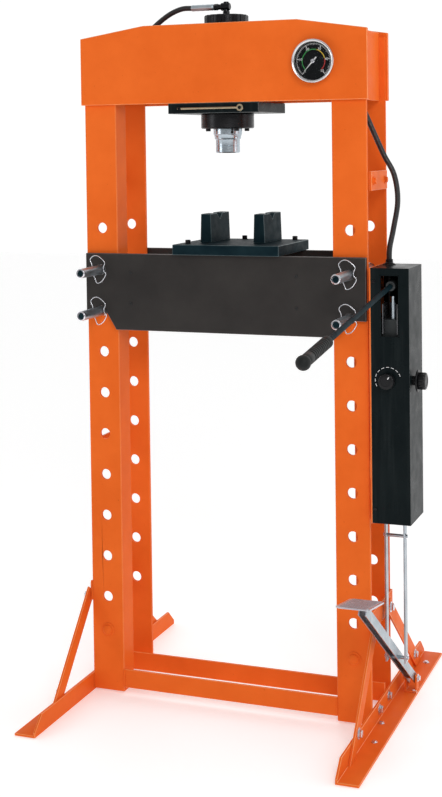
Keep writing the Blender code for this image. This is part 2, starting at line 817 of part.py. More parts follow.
def build_gauge():
    back = -HEADER_SHEET - 2 * GAP
    depth = back - GAUGE_FRONT
    floor = back - GAUGE_FLOOR
    edge = 0.003
    profile = [
        (0, 0),
        (GAUGE_RADIUS - edge, 0),
        (GAUGE_RADIUS, edge),
        (GAUGE_RADIUS, depth - edge),
        (GAUGE_RADIUS - edge, depth),
        (GAUGE_FACE_RADIUS, depth),
        (GAUGE_FACE_RADIUS, floor),
        (0, floor),
    ]
    origin = (GAUGE_X, back, GAUGE_Z)
    add_piece("gauge_case", turned(profile, origin, (0, -1, 0), 32), "gauge_case", origin)
    start = (GAUGE_X, GAUGE_FLOOR - GAP, GAUGE_Z)
    end = (GAUGE_X, GAUGE_FLOOR - GAP - DIAL_SHEET, GAUGE_Z)
    add_piece("gauge_dial", rod(start, end, GAUGE_FACE_RADIUS - GAP, 32), "dial_face", origin)
    add_piece("gauge_needle", needle(), "needle_paint", (GAUGE_X, -0.0255, GAUGE_Z))


# ---- pump ----------------------------------------------------------------------------------------------
def handle_point(distance):
    """Point on the handle's line, this far forward of its pivot."""
    x, y, z = HANDLE_PIVOT
    return Vector((x, y - distance * math.cos(HANDLE_SLOPE), z - distance * math.sin(HANDLE_SLOPE)))


def build_pump_box():
    inner = BOX_BACK - 0.01
    outside = block((BOX_BACK, BOX_RIGHT), (BOX_FRONT, BOX_REAR), (BOX_BOTTOM, BOX_TOP))
    hollow = block(
        (inner, BOX_RIGHT - BOX_SHEET),
        (BOX_FRONT + BOX_SHEET, BOX_REAR - BOX_SHEET),
        (BOX_BOTTOM + BOX_SHEET, BOX_TOP - BOX_SHEET),
    )
    slot = block(SLOT[:2], (BOX_FRONT - 0.01, BOX_FRONT + 0.01), SLOT[2:])
    opening = block(BAR_OPENING[:2], BAR_OPENING[2:], (BOX_BOTTOM - 0.01, BOX_BOTTOM + 0.01))
    add_piece("pump_cover", outside, "black_paint", cuts=[hollow, slot, opening])
    low = COLUMN_OUTER + GAP
    plate = block((BOX_BACK - GAP - BOX_PLATE, BOX_BACK - GAP), (BOX_FRONT, BOX_REAR), (BOX_BOTTOM, BOX_TOP))
    strap = block((low, BOX_BACK - GAP - BOX_PLATE / 2), (0, FRAME_DEPTH), MID_BATTEN)
    add_piece("pump_back_plate", plate, "orange_paint", adds=[strap])


def build_pump_body():
    """Pump block with a bore for the plunger and two ears that carry the handle's pivot pin."""
    casting = block((BOX_BACK, 0.470), (0.000, 0.100), (BODY_BOTTOM, BODY_TOP))
    ears = []
    for sign in (-1, 1):
        middle = HANDLE_X + sign * EAR_OFFSET
        x_range = (middle - EAR_SHEET / 2, middle + EAR_SHEET / 2)
        y_range = (HANDLE_PIVOT[1] - 0.010, HANDLE_PIVOT[1] + 0.010)
        ears.append(block(x_range, y_range, (BODY_TOP - 0.01, HANDLE_PIVOT[2] + 0.015)))
    _, y, z = HANDLE_PIVOT
    pin = rod((HANDLE_X - EAR_OFFSET, y, z), (HANDLE_X + EAR_OFFSET, y, z), PIVOT_RADIUS, SMALL_ROUND)
    bore_low = PLUNGER_BOTTOM - 0.030
    bore = rod((HANDLE_X, PLUNGER_Y, bore_low), (HANDLE_X, PLUNGER_Y, BODY_TOP + 0.01), PLUNGER_RADIUS + GAP)
    add_piece("pump_body", casting, "cast_block", adds=[joined(ears), pin], cuts=[bore])
    start = (HANDLE_X, PLUNGER_Y, PLUNGER_BOTTOM)
    plunger = rod(start, (HANDLE_X, PLUNGER_Y, PLUNGER_TOP), PLUNGER_RADIUS)
    add_piece("hand_plunger", plunger, "chrome", start)


def build_handle():
    pivot = add_empty("handle_pivot", HANDLE_PIVOT, ROOT)
    _, y, z = HANDLE_PIVOT
    hole = rod((HANDLE_X - 0.02, y, z), (HANDLE_X + 0.02, y, z), PIVOT_RADIUS + GAP, SMALL_ROUND)
    socket = rod(handle_point(-SOCKET_TAIL), handle_point(SOCKET_REACH), SOCKET_RADIUS)
    add_piece("handle_socket", socket, "cast_block", HANDLE_PIVOT, pivot, cuts=[hole])
    bore_end = GRIP_START + 0.100
    bar = rod(handle_point(SOCKET_REACH + GAP), handle_point(bore_end - GAP), HANDLE_RADIUS, 16)
    add_piece("handle_rod", bar, "black_oxide", HANDLE_PIVOT, pivot)
    start = handle_point(GRIP_START)
    direction = (handle_point(1) - handle_point(0)).normalized()
    bore = HANDLE_RADIUS + GAP
    reach = BALL_CENTRE - GRIP_START
    profile = [
        (0, bore_end - GRIP_START),
        (bore, bore_end - GRIP_START),
        (bore, 0),
        (GRIP_RADIUS - 0.002, 0),
        (GRIP_RADIUS, 0.002),
    ]
    meet = math.asin(GRIP_RADIUS / BALL_RADIUS)
    for step in range(7):
        angle = meet + (math.pi - meet) * step / 6
        radius = BALL_RADIUS * math.sin(angle) if step < 6 else 0
        profile.append((radius, reach - BALL_RADIUS * math.cos(angle)))
    add_piece("handle_grip", turned(profile, start, direction), "grip_rubber", HANDLE_PIVOT, pivot)


def build_knobs():
    back = (RELEASE_X, BOX_FRONT - GAP, RELEASE_Z)
    reach = back[1] - RELEASE_FRONT
    profile = [
        (0, 0),
        (0.010, 0),
        (0.010, 0.005),
        (RELEASE_RADIUS, 0.005),
        (RELEASE_RADIUS, reach - 0.003),
        (RELEASE_RADIUS - 0.003, reach),
        (0, reach),
    ]
    add_piece("release_knob", turned(profile, back, (0, -1, 0)), "knob_plastic", back)
    start = (BOX_RIGHT + GAP, SIDE_KNOB_Y, SIDE_KNOB_Z)
    reach = SIDE_KNOB_END - start[0]
    profile = [
        (0, 0),
        (0.012, 0),
        (0.012, 0.0095),
        (0.0275, 0.0095),
        (0.0275, 0.0135),
        (0.0215, 0.0135),
        (0.0215, reach - 0.003),
        (0.0185, reach),
        (0, reach),
    ]
    add_piece("side_knob", turned(profile, start, (1, 0, 0)), "knob_plastic", start)


# ---- pedal ---------------------------------------------------------------------------------------------
def lever_frame():
    """Unit vectors along the lever and square to it, upwards, in the Y-Z plane."""
    along = (Vector(LEVER_TOP) - Vector(PEDAL_PIVOT)).normalized()
    return along, Vector((0, along.z, -along.y))


def lever_outline(low, high, tail, reach):
    """Outline of a strip of the lever, between two distances square to its line."""
    along, up = lever_frame()
    start = Vector(PEDAL_PIVOT) - along * tail
    end = Vector(PEDAL_PIVOT) + along * reach
    corners = [start + up * low, end + up * low, end + up * high, start + up * high]
    return [(corner.y, corner.z) for corner in corners]


def cross_hole(point, radius, half):
    """Cutter or pin across the lever at the point given."""
    _, y, z = point
    return rod((LEVER_X - half, y, z), (LEVER_X + half, y, z), radius, SMALL_ROUND)


def build_lever(pivot):
    """Channel lever, open on its underside, with holes for its pivot and for the link pin."""
    reach = (Vector(LEVER_TOP) - Vector(PEDAL_PIVOT)).length
    half_depth = LEVER_DEPTH / 2
    outside = lever_outline(-half_depth, half_depth, LEVER_TAIL, reach)
    hollow = lever_outline(-half_depth - 0.01, half_depth - LEVER_SHEET, LEVER_TAIL + 0.01, reach + 0.01)
    inner = LEVER_HALF - LEVER_SHEET
    cuts = [
        prism(hollow, "X", LEVER_X - inner, LEVER_X + inner),
        joined([
            cross_hole(PEDAL_PIVOT, PIVOT_RADIUS + GAP, 0.03),
            cross_hole(LINK_PIN, LINK_PIN_RADIUS + GAP, 0.03),
        ]),
    ]
    bar = prism(outside, "X", LEVER_X - LEVER_HALF, LEVER_X + LEVER_HALF)
    add_piece("pedal_lever", bar, "zinc_plate", PEDAL_PIVOT, pivot, cuts=cuts)


def build_tread(pivot):
    """Foot tread, tipped up at its front edge."""
    half_x, half_y, half_z = (size / 2 for size in TREAD_SIZE)
    tread = block((-half_x, half_x), (-half_y, half_y), (-half_z, half_z))
    tilt = Matrix.Rotation(-TREAD_TILT, 4, "X")
    tread.transform(Matrix.Translation(TREAD_CENTRE) @ tilt)
    add_piece("pedal_tread", tread, "tread_steel", PEDAL_PIVOT, pivot)


def build_link(pivot):
    """Two upright bars joined by the pin through the lever and by a cross pin."""
    _, y, z = LINK_PIN
    holder = add_empty("link_pivot", LINK_PIN, pivot)
    bars = []
    for x in LINK_XS:
        x_range = (x - LINK_SHEET / 2, x + LINK_SHEET / 2)
        bars.append(block(x_range, (y - LINK_WIDTH / 2, y + LINK_WIDTH / 2), (z - 0.012, LINK_TOP)))
    pins = [rod((CROSS_PIN[0], y, height), (CROSS_PIN[1], y, height), LINK_PIN_RADIUS, SMALL_ROUND)
            for height in (z, CROSS_PIN_Z)]
    add_piece("link_bars", joined(bars), "zinc_plate", LINK_PIN, holder, adds=[joined(pins)])


def build_bracket():
    """Clevis on the foot that carries the pedal's pivot pin."""
    _, y, z = PEDAL_PIVOT
    low = STRAP + GAP
    base = block((LEVER_X - 0.0165, LEVER_X + 0.0165), (y - 0.020, y + 0.020), (low, low + 0.003))
    cheeks = []
    for sign in (-1, 1):
        middle = LEVER_X + sign * 0.014
        cheeks.append(block((middle - 0.0025, middle + 0.0025), (y - 0.012, y + 0.012), (low + 0.001, z + 0.010)))
    pin = cross_hole(PEDAL_PIVOT, PIVOT_RADIUS, 0.014)
    add_piece("pedal_bracket", base, "orange_paint", adds=[joined(cheeks), pin])


def build_pedal():
    pivot = add_empty("pedal_pivot", PEDAL_PIVOT, ROOT)
    build_lever(pivot)
    build_tread(pivot)
    build_link(pivot)
    build_bracket()


build_frame()
build_header()
build_bed()
build_pins()
build_tooling()
build_cylinder()
build_locking_rod()
build_elbow()
build_hose()
build_gauge()
build_pump_box()
build_pump_body()
build_handle()
build_knobs()
build_pedal()
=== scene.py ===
"""Looks for the hydraulic shop press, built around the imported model.

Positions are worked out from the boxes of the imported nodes. Where a detail has a place of its own it is
given in the press's design frame (X from the middle of the frame, Y from the front face of the front
uprights, Z from the floor) and moved into the row frame by at().
"""

import json
import math

import bmesh
import bpy
from mathutils import Matrix, Vector

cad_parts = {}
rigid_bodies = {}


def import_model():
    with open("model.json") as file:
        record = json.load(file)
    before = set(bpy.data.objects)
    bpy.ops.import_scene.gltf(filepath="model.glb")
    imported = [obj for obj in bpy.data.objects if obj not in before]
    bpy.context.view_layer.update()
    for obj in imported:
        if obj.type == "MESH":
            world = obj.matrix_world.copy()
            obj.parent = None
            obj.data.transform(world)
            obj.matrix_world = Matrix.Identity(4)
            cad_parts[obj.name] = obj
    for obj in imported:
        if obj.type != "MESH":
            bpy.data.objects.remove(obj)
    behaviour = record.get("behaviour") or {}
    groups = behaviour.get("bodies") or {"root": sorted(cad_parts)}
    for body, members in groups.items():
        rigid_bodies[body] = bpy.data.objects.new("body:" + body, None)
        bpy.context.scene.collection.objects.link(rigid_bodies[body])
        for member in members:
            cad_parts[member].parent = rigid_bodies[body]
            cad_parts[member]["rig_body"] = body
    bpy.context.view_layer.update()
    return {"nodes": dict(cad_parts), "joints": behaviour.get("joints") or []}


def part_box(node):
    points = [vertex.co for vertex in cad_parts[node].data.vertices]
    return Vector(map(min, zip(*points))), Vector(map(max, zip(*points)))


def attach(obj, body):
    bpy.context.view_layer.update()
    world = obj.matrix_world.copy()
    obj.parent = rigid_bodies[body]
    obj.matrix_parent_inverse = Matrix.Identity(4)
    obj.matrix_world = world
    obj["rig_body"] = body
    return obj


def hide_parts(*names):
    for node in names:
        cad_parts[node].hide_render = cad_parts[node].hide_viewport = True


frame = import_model()
NODES = frame["nodes"]

HEADER_LOW, HEADER_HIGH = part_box("header_front")
MIDDLE_X = (HEADER_LOW.x + HEADER_HIGH.x) / 2
FACE_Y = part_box("upright_front_left")[0].y


def at(x, y, z):
    """A point of the design frame, in the row frame."""
    return Vector((x + MIDDLE_X, y + FACE_Y, z))


# ---- node materials ------------------------------------------------------------------------------------
def link(tree, source, output, target, field):
    """Joins an output of one node to an input of another."""
    tree.links.new(source.outputs[output], target.inputs[field])


def object_space(tree, stretch):
    """Object coordinates, stretched per axis."""
    place = tree.nodes.new("ShaderNodeTexCoord")
    mapping = tree.nodes.new("ShaderNodeMapping")
    mapping.inputs["Scale"].default_value = stretch
    link(tree, place, "Object", mapping, "Vector")
    return mapping


def noise_node(tree, space, scale, detail=4.0, roughness=0.6):
    """Noise texture in the space given."""
    noise = tree.nodes.new("ShaderNodeTexNoise")
    noise.inputs["Scale"].default_value = scale
    noise.inputs["Detail"].default_value = detail
    noise.inputs["Roughness"].default_value = roughness
    link(tree, space, "Vector", noise, "Vector")
    return noise


def ramp_node(tree, source, output, stops):
    """Colour ramp with (place, colour) stops."""
    ramp = tree.nodes.new("ShaderNodeValToRGB")
    elements = ramp.color_ramp.elements
    while len(elements) < len(stops):
        elements.new(0.5)
    for element, (place, color) in zip(elements, stops):
        element.position = place
        element.color = (*color, 1.0)
    link(tree, source, output, ramp, "Fac")
    return ramp


def range_node(tree, source, output, low, high):
    """Maps noise from its usual spread to the limits given."""
    mapped = tree.nodes.new("ShaderNodeMapRange")
    mapped.inputs["From Min"].default_value = 0.3
    mapped.inputs["From Max"].default_value = 0.7
    mapped.inputs["To Min"].default_value = low
    mapped.inputs["To Max"].default_value = high
    link(tree, source, output, mapped, "Value")
    return mapped


def bump_node(tree, source, output, strength, distance, under=None):
    """Bump from a height, on top of another bump if one is given."""
    bump = tree.nodes.new("ShaderNodeBump")
    bump.inputs["Strength"].default_value = strength
    bump.inputs["Distance"].default_value = distance
    link(tree, source, output, bump, "Height")
    if under:
        link(tree, under, "Normal", bump, "Normal")
    return bump


def mix_node(tree, mask, under, tone):
    """Output of a mix that shows the tone over another colour where the mask is white."""
    mix = tree.nodes.new("ShaderNodeMix")
    mix.data_type = "RGBA"
    colors = [field for field in mix.inputs if field.type == "RGBA"]
    tree.links.new(under, colors[0])
    colors[1].default_value = (*tone, 1.0)
    link(tree, mask, "Color", mix, "Factor")
    return next(field for field in mix.outputs if field.type == "RGBA")


def surface(name, tones, gloss, metallic=0.0, mottle=9.0, grain=400.0, bump=0.15, stretch=(1, 1, 1),
            coat=0.0, specular=0.5, streaks=None, specks=None):
    """A finish: mottled colour between two tones, uneven gloss and a fine bumpy grain.

    streaks is a darker or lighter tone drawn out along Z, and specks a tone of small chips and dust.
    """
    material = bpy.data.materials.new(name)
    material.use_nodes = True
    tree = material.node_tree
    shader = tree.nodes["Principled BSDF"]
    shader.inputs["Metallic"].default_value = metallic
    shader.inputs["Specular IOR Level"].default_value = specular
    shader.inputs["Coat Weight"].default_value = coat
    shader.inputs["Coat Roughness"].default_value = 0.12
    space = object_space(tree, (1, 1, 1))
    brushed = object_space(tree, stretch)
    patches = noise_node(tree, space, mottle)
    color = ramp_node(tree, patches, "Fac", [(0.32, tones[0]), (0.68, tones[1])])
    under = color.outputs["Color"]
    for tone, layer_stretch, scale, start, end in layers_of(streaks, specks):
        layer = noise_node(tree, object_space(tree, layer_stretch), scale, 3.0)
        mask = ramp_node(tree, layer, "Fac", [(start, (0, 0, 0)), (end, (1, 1, 1))])
        under = mix_node(tree, mask, under, tone)
    tree.links.new(under, shader.inputs["Base Color"])
    rough = range_node(tree, noise_node(tree, brushed, mottle * 3.1), "Fac", *gloss)
    link(tree, rough, "Result", shader, "Roughness")
    fine = noise_node(tree, brushed, grain, 2.0)
    relief = bump_node(tree, fine, "Fac", bump, 0.0004)
    wide = noise_node(tree, space, mottle * 2.3, 2.0)
    relief = bump_node(tree, wide, "Fac", bump * 0.5, 0.0006, relief)
    link(tree, relief, "Normal", shader, "Normal")
    return material


def layers_of(streaks, specks):
    """Tone, stretch, scale and ramp limits of each extra colour layer."""
    found = []
    if streaks:
        found.append((streaks, (1, 1, 0.06), 60.0, 0.50, 0.66))
    if specks:
        found.append((specks, (1, 1, 1), 220.0, 0.70, 0.76))
    return found


FINISH = {
    "orange": surface(
        "orange_enamel", ((0.78, 0.130, 0.017), (0.86, 0.156, 0.023)), (0.30, 0.44), specular=0.03,
        mottle=6.0, grain=700.0, bump=0.10, specks=(0.58, 0.085, 0.010),
    ),
    # Lighter orange for the rounded edges: painted highlight, partly worn paint.
    "orange_edge_highlight_wear": surface(
        "orange_enamel_edge_highlight_wear", ((0.88, 0.22, 0.045), (0.94, 0.29, 0.080)), (0.28, 0.42), mottle=30.0,
        grain=700.0, bump=0.10, coat=0.1, specks=(0.50, 0.20, 0.10),
    ),
    "charcoal": surface(
        "charcoal_enamel", ((0.026, 0.023, 0.022), (0.036, 0.032, 0.030)), (0.38, 0.52), mottle=7.0,
        grain=650.0, bump=0.12, specular=0.14, specks=(0.05, 0.045, 0.04),
    ),
    # Lighter charcoal for the rounded edges: painted highlight, partly worn paint.
    "charcoal_edge_highlight_wear": surface(
        "charcoal_enamel_edge_highlight_wear", ((0.07, 0.062, 0.06), (0.14, 0.125, 0.12)), (0.3, 0.45), mottle=30.0,
        grain=650.0, bump=0.12,
    ),
    "black": surface(
        "black_enamel", ((0.003, 0.006, 0.007), (0.006, 0.010, 0.011)), (0.24, 0.38), mottle=8.0,
        grain=500.0, bump=0.10, specular=0.06, streaks=(0.009, 0.013, 0.014),
    ),
    # Grey for the rounded edges of the black box: painted highlight, partly worn paint.
    "black_edge_highlight_wear": surface(
        "black_enamel_edge_highlight_wear", ((0.03, 0.036, 0.038), (0.07, 0.08, 0.08)), (0.25, 0.4), mottle=40.0,
        grain=500.0, bump=0.10,
    ),
    "slate": surface(
        "slate_steel", ((0.002, 0.010, 0.015), (0.007, 0.021, 0.027)), (0.42, 0.60), specular=0.05,
        mottle=16.0, grain=900.0, bump=0.20, specks=(0.05, 0.08, 0.09),
    ),
    # Lighter slate for the rounded edges: painted highlight, partly worn paint.
    "slate_edge_highlight_wear": surface(
        "slate_steel_edge_highlight_wear", ((0.03, 0.055, 0.062), (0.08, 0.12, 0.13)), (0.3, 0.45), metallic=0.5,
        mottle=40.0, grain=900.0, bump=0.15,
    ),
    "oxide": surface(
        "black_oxide", ((0.010, 0.010, 0.011), (0.022, 0.022, 0.024)), (0.20, 0.36), metallic=0.75,
        mottle=14.0, grain=700.0, bump=0.12, stretch=(1, 1, 8),
    ),
    # Lighter copy of black oxide: painted highlight, used for the lit cheeks in the handle's slot.
    "oxide_highlight": surface(
        "black_oxide_highlight", ((0.10, 0.10, 0.11), (0.22, 0.22, 0.23)), (0.2, 0.35), metallic=0.9,
        mottle=40.0, grain=700.0, bump=0.1,
    ),
    "chrome": surface(
        "hard_chrome", ((0.40, 0.46, 0.51), (0.54, 0.60, 0.65)), (0.17, 0.27), metallic=1.0, mottle=9.0,
        grain=500.0, bump=0.05, stretch=(1, 1, 14),
    ),
    "zinc": surface(
        "zinc_plate", ((0.42, 0.48, 0.52), (0.60, 0.66, 0.70)), (0.34, 0.50), metallic=1.0, mottle=22.0,
        grain=600.0, bump=0.12, stretch=(6, 0.6, 6),
    ),
    "zinc_upright": surface(
        "zinc_plate_upright", ((0.30, 0.36, 0.40), (0.48, 0.54, 0.58)), (0.24, 0.40), metallic=1.0,
        mottle=22.0, grain=600.0, bump=0.12, stretch=(6, 6, 0.6),
    ),
    "bright": surface(
        "bright_zinc", ((0.62, 0.62, 0.66), (0.78, 0.78, 0.82)), (0.16, 0.30), metallic=1.0, mottle=30.0,
        grain=700.0, bump=0.10,
    ),
    "tread": surface(
        "tread_plate", ((0.52, 0.52, 0.57), (0.66, 0.66, 0.71)), (0.26, 0.40), metallic=0.85, mottle=20.0,
        grain=800.0, bump=0.15, stretch=(0.5, 5, 5), specks=(0.36, 0.36, 0.40),
    ),
    "grip": surface(
        "grip_rubber", ((0.004, 0.005, 0.005), (0.010, 0.011, 0.011)), (0.48, 0.66), mottle=20.0,
        grain=900.0, bump=0.25, specular=0.25, specks=(0.03, 0.03, 0.03),
    ),
    "knob": surface(
        "knob_plastic", ((0.003, 0.003, 0.004), (0.007, 0.007, 0.008)), (0.24, 0.36), mottle=20.0,
        grain=900.0, bump=0.10, specular=0.25,
    ),
    "brass": surface(
        "yellow_zinc", ((0.42, 0.34, 0.22), (0.60, 0.50, 0.34)), (0.22, 0.36), metallic=1.0, mottle=25.0,
        grain=600.0, bump=0.10, stretch=(0.5, 6, 6),
    ),
    # Cast iron's dark grey, made darker still as painted shade for the parts inside the pump box.
    "cast": surface(
        "cast_iron_block_painted_shade", ((0.020, 0.023, 0.024), (0.045, 0.050, 0.052)), (0.45, 0.62), metallic=0.4,
        mottle=18.0, grain=500.0, bump=0.45,
    ),
    "bezel": surface(
        "gauge_bezel", ((0.62, 0.61, 0.62), (0.76, 0.75, 0.76)), (0.16, 0.28), metallic=1.0, mottle=14.0,
        grain=500.0, bump=0.06,
    ),
    "dial": surface(
        "dial_black", ((0.004, 0.004, 0.005), (0.008, 0.008, 0.009)), (0.40, 0.55), mottle=30.0,
        grain=900.0, bump=0.05, specular=0.08,
    ),
    "socket": surface(
        "dark_recess", ((0.004, 0.004, 0.004), (0.008, 0.008, 0.008)), (0.5, 0.7), mottle=30.0,
        grain=500.0, bump=0.10,
    ),
}

PRINT_TONES = {
    "white": ((0.72, 0.72, 0.72), (0.82, 0.82, 0.82)),
    "green": ((0.03, 0.30, 0.06), (0.04, 0.38, 0.08)),
    "yellow": ((0.75, 0.52, 0.03), (0.84, 0.60, 0.05)),
    "red": ((0.55, 0.02, 0.015), (0.65, 0.03, 0.02)),
}
for tone_name, tones in PRINT_TONES.items():
    FINISH[tone_name] = surface(
        f"print_{tone_name}", tones, (0.40, 0.55), mottle=60.0, grain=900.0, bump=0.05,
    )


def hose_material():
    """Black hose cover with the faint diagonal print of its braid."""
    material = surface("hose_cover", ((0.009, 0.009, 0.010), (0.020, 0.020, 0.021)), (0.34, 0.48),
                       mottle=40.0, grain=900.0, bump=0.20)
    tree = material.node_tree
    wave = tree.nodes.new("ShaderNodeTexWave")
    wave.bands_direction = "DIAGONAL"
    wave.inputs["Scale"].default_value = 90.0
    wave.inputs["Distortion"].default_value = 1.5
    link(tree, object_space(tree, (1, 1, 1)), "Vector", wave, "Vector")
    shader = tree.nodes["Principled BSDF"]
    under = shader.inputs["Normal"].links[0].from_node
    braid = bump_node(tree, wave, "Fac", 0.18, 0.0006, under)
    link(tree, braid, "Normal", shader, "Normal")
    return material


def glass_material():
    """Clear gauge glass that lets light straight through, so the dial under it stays readable."""
    material = bpy.data.materials.new("gauge_glass")
    material.use_nodes = True
    tree = material.node_tree
    shader = tree.nodes["Principled BSDF"]
    shader.inputs["Base Color"].default_value = (0.02, 0.03, 0.03, 1.0)
    shader.inputs["Alpha"].default_value = 0.05
    shader.inputs["Specular IOR Level"].default_value = 0.2
    smear = noise_node(tree, object_space(tree, (1, 1, 1)), 25.0)
    rough = range_node(tree, smear, "Fac", 0.02, 0.09)
    link(tree, rough, "Result", shader, "Roughness")
    return material


FINISH["hose"] = hose_material()
FINISH["glass"] = glass_material()


# ---- mesh helpers --------------------------------------------------------------------------------------
def finish_mesh(name, shape, materials, body, smooth_angle=32.0):
    """Turns a shape into a piece: smooth shading with sharp edges, materials and body."""
    bmesh.ops.recalc_face_normals(shape, faces=shape.faces)
    mesh = bpy.data.meshes.new(name)
    shape.to_mesh(mesh)
    shape.free()
    for material in materials:
        mesh.materials.append(FINISH[material])
    for face in mesh.polygons:
        face.use_smooth = True
    mesh.set_sharp_from_angle(angle=math.radians(smooth_angle))
    piece = bpy.data.objects.new(name, mesh)
    bpy.context.scene.collection.objects.link(piece)
    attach(piece, body)
    return piece


def bevel(piece, width, segments=2, edge_highlight_slot=-1):
    """Rounds a piece's sharp edges. edge_highlight_slot is the material slot of the rounded edge itself,
    which callers give a lighter finish as a painted highlight.
    """
    modifier = piece.modifiers.new("rounded", "BEVEL")
    modifier.width = width
    modifier.segments = segments
    modifier.limit_method = "ANGLE"
    modifier.angle_limit = math.radians(35)
    modifier.use_clamp_overlap = True
    modifier.harden_normals = True
    modifier.material = edge_highlight_slot
    return piece


def turned_shape(profile, start, direction, sides=64):
    """A turned shape from (radius, distance) pairs. One that doesn't begin on the axis closes as a ring."""
    shape = bmesh.new()
    rings = []
    for radius, height in profile:
        if radius == 0:
            rings.append([shape.verts.new((0.0, 0.0, height))])
            continue
        turns = [math.tau * k / sides for k in range(sides)]
        rings.append([shape.verts.new((radius * math.cos(a), radius * math.sin(a), height)) for a in turns])
    pairs = list(zip(rings, rings[1:]))
    if len(rings[0]) > 1:
        pairs.append((rings[-1], rings[0]))
    for one, other in pairs:
        for k in range(sides):
            after = (k + 1) % sides
            if len(one) == 1:
                shape.faces.new((one[0], other[k], other[after]))
            elif len(other) == 1:
                shape.faces.new((one[k], other[0], one[after]))
            else:
                shape.faces.new((one[k], other[k], other[after], one[after]))
    turn = Vector((0, 0, 1)).rotation_difference(Vector(direction)).to_matrix().to_4x4()
    shape.transform(Matrix.Translation(start) @ turn)
    return shape


def absorb(shape, extra):
    """Adds another shape to this one."""
    mesh = bpy.data.meshes.new("extra")
    extra.to_mesh(mesh)
    extra.free()
    shape.from_mesh(mesh)
    bpy.data.meshes.remove(mesh)
    return shape


def box_shape(low, high):
    """A box between two corners."""
    shape = bmesh.new()
    bmesh.ops.create_cube(shape, size=1.0)
    low, high = Vector(low), Vector(high)
    size = high - low
    middle = (high + low) / 2
    for vertex in shape.verts:
        vertex.co = Vector(a * b + c for a, b, c in zip(vertex.co, size, middle))
    return shape


def tube_piece(name, points, radius, finish, body, closed=False, bevel_resolution=4):
    """A round wire or tube along the points given."""
    curve = bpy.data.curves.new(name, "CURVE")
    curve.dimensions = "3D"
    spline = curve.splines.new("POLY")
    spline.points.add(len(points) - 1)
    for place, point in zip(spline.points, points):
        place.co = (*point, 1.0)
    spline.use_smooth = True
    spline.use_cyclic_u = closed
    curve.bevel_depth = radius
    curve.bevel_resolution = bevel_resolution
    curve.use_fill_caps = not closed
    curve.materials.append(FINISH[finish])
    piece = bpy.data.objects.new(name, curve)
    bpy.context.scene.collection.objects.link(piece)
    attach(piece, body)
    return piece


def smooth_route(points, spacing, closed=False):
    """Evenly spaced points along the smooth curve through the points given."""
    knots = [Vector(p) for p in points]
    padded = [2 * knots[0] - knots[1]] + knots + [2 * knots[-1] - knots[-2]]
    if closed:
        padded = [knots[-1]] + knots + knots[:2]
    dense = []
    for a, b, c, d in zip(padded, padded[1:], padded[2:], padded[3:]):
        for step in range(20):
            t = step / 20
            bend = 2 * b + (c - a) * t + (2 * a - 5 * b + 4 * c - d) * t**2
            dense.append((bend + (3 * b - a - 3 * c + d) * t**3) / 2)
    if not closed:
        dense.append(knots[-1])
    reach = [0.0]
    for one, other in zip(dense, dense[1:]):
        reach.append(reach[-1] + (other - one).length)
    count = round(reach[-1] / spacing)
    even = []
    index = 0
    for step in range(count):
        target = reach[-1] * step / count
        while reach[index + 1] < target:
            index += 1
        share = (target - reach[index]) / (reach[index + 1] - reach[index])
        even.append(dense[index].lerp(dense[index + 1], share))
    even.append(dense[-1])
    return even


# ---- camera, lights and floor --------------------------------------------------------------------------
CAMERA_PLACE = (1.3037, -3.4238, 1.4714)
CAMERA_YAW = math.radians(20.863)
CAMERA_PITCH = math.radians(2.0)
CAMERA_ROLL = math.radians(0.74)
CAMERA_LENS = 64.39
CAMERA_SHIFT = -0.2582


def build_camera():
    data = bpy.data.cameras.new("camera")
    data.sensor_fit = "VERTICAL"
    data.sensor_height = 36.0
    data.lens = CAMERA_LENS
    data.shift_y = CAMERA_SHIFT
    data.clip_start = 0.05
    data.clip_end = 60.0
    camera = bpy.data.objects.new("camera", data)
    bpy.context.scene.collection.objects.link(camera)
    turn = Matrix.Rotation(CAMERA_YAW, 4, "Z") @ Matrix.Rotation(math.pi / 2 - CAMERA_PITCH, 4, "X")
    roll = Matrix.Rotation(-CAMERA_ROLL, 4, "Z")
    camera.matrix_world = Matrix.Translation(at(*CAMERA_PLACE)) @ turn @ roll
    bpy.context.scene.camera = camera


def add_light(name, place, target, size, power, color=(1, 1, 1)):
    """A soft square light that looks at a point."""
    data = bpy.data.lights.new(name, "AREA")
    data.shape = "SQUARE"
    data.size = size
    data.energy = power
    data.color = color
    light = bpy.data.objects.new(name, data)
    bpy.context.scene.collection.objects.link(light)
    aim = (Vector(target) - Vector(place)).to_track_quat("-Z", "Y").to_matrix().to_4x4()
    light.matrix_world = Matrix.Translation(place) @ aim


def build_sky():
    """White studio behind the press, falling off to grey behind the camera, so that metal has contrast."""
    world = bpy.data.worlds.new("studio")
    world.use_nodes = True
    tree = world.node_tree
    sky = tree.nodes["Background"]
    sky.inputs["Color"].default_value = (1.0, 1.0, 1.0, 1.0)
    place = tree.nodes.new("ShaderNodeTexCoord")
    split = tree.nodes.new("ShaderNodeSeparateXYZ")
    link(tree, place, "Generated", split, "Vector")
    fall = tree.nodes.new("ShaderNodeMapRange")
    fall.inputs["From Min"].default_value = -0.5
    fall.inputs["From Max"].default_value = 0.6
    fall.inputs["To Min"].default_value = 0.42
    fall.inputs["To Max"].default_value = 1.05
    link(tree, split, "Y", fall, "Value")
    link(tree, fall, "Result", sky, "Strength")
    bpy.context.scene.world = world
    bpy.context.scene.view_settings.view_transform = "Standard"


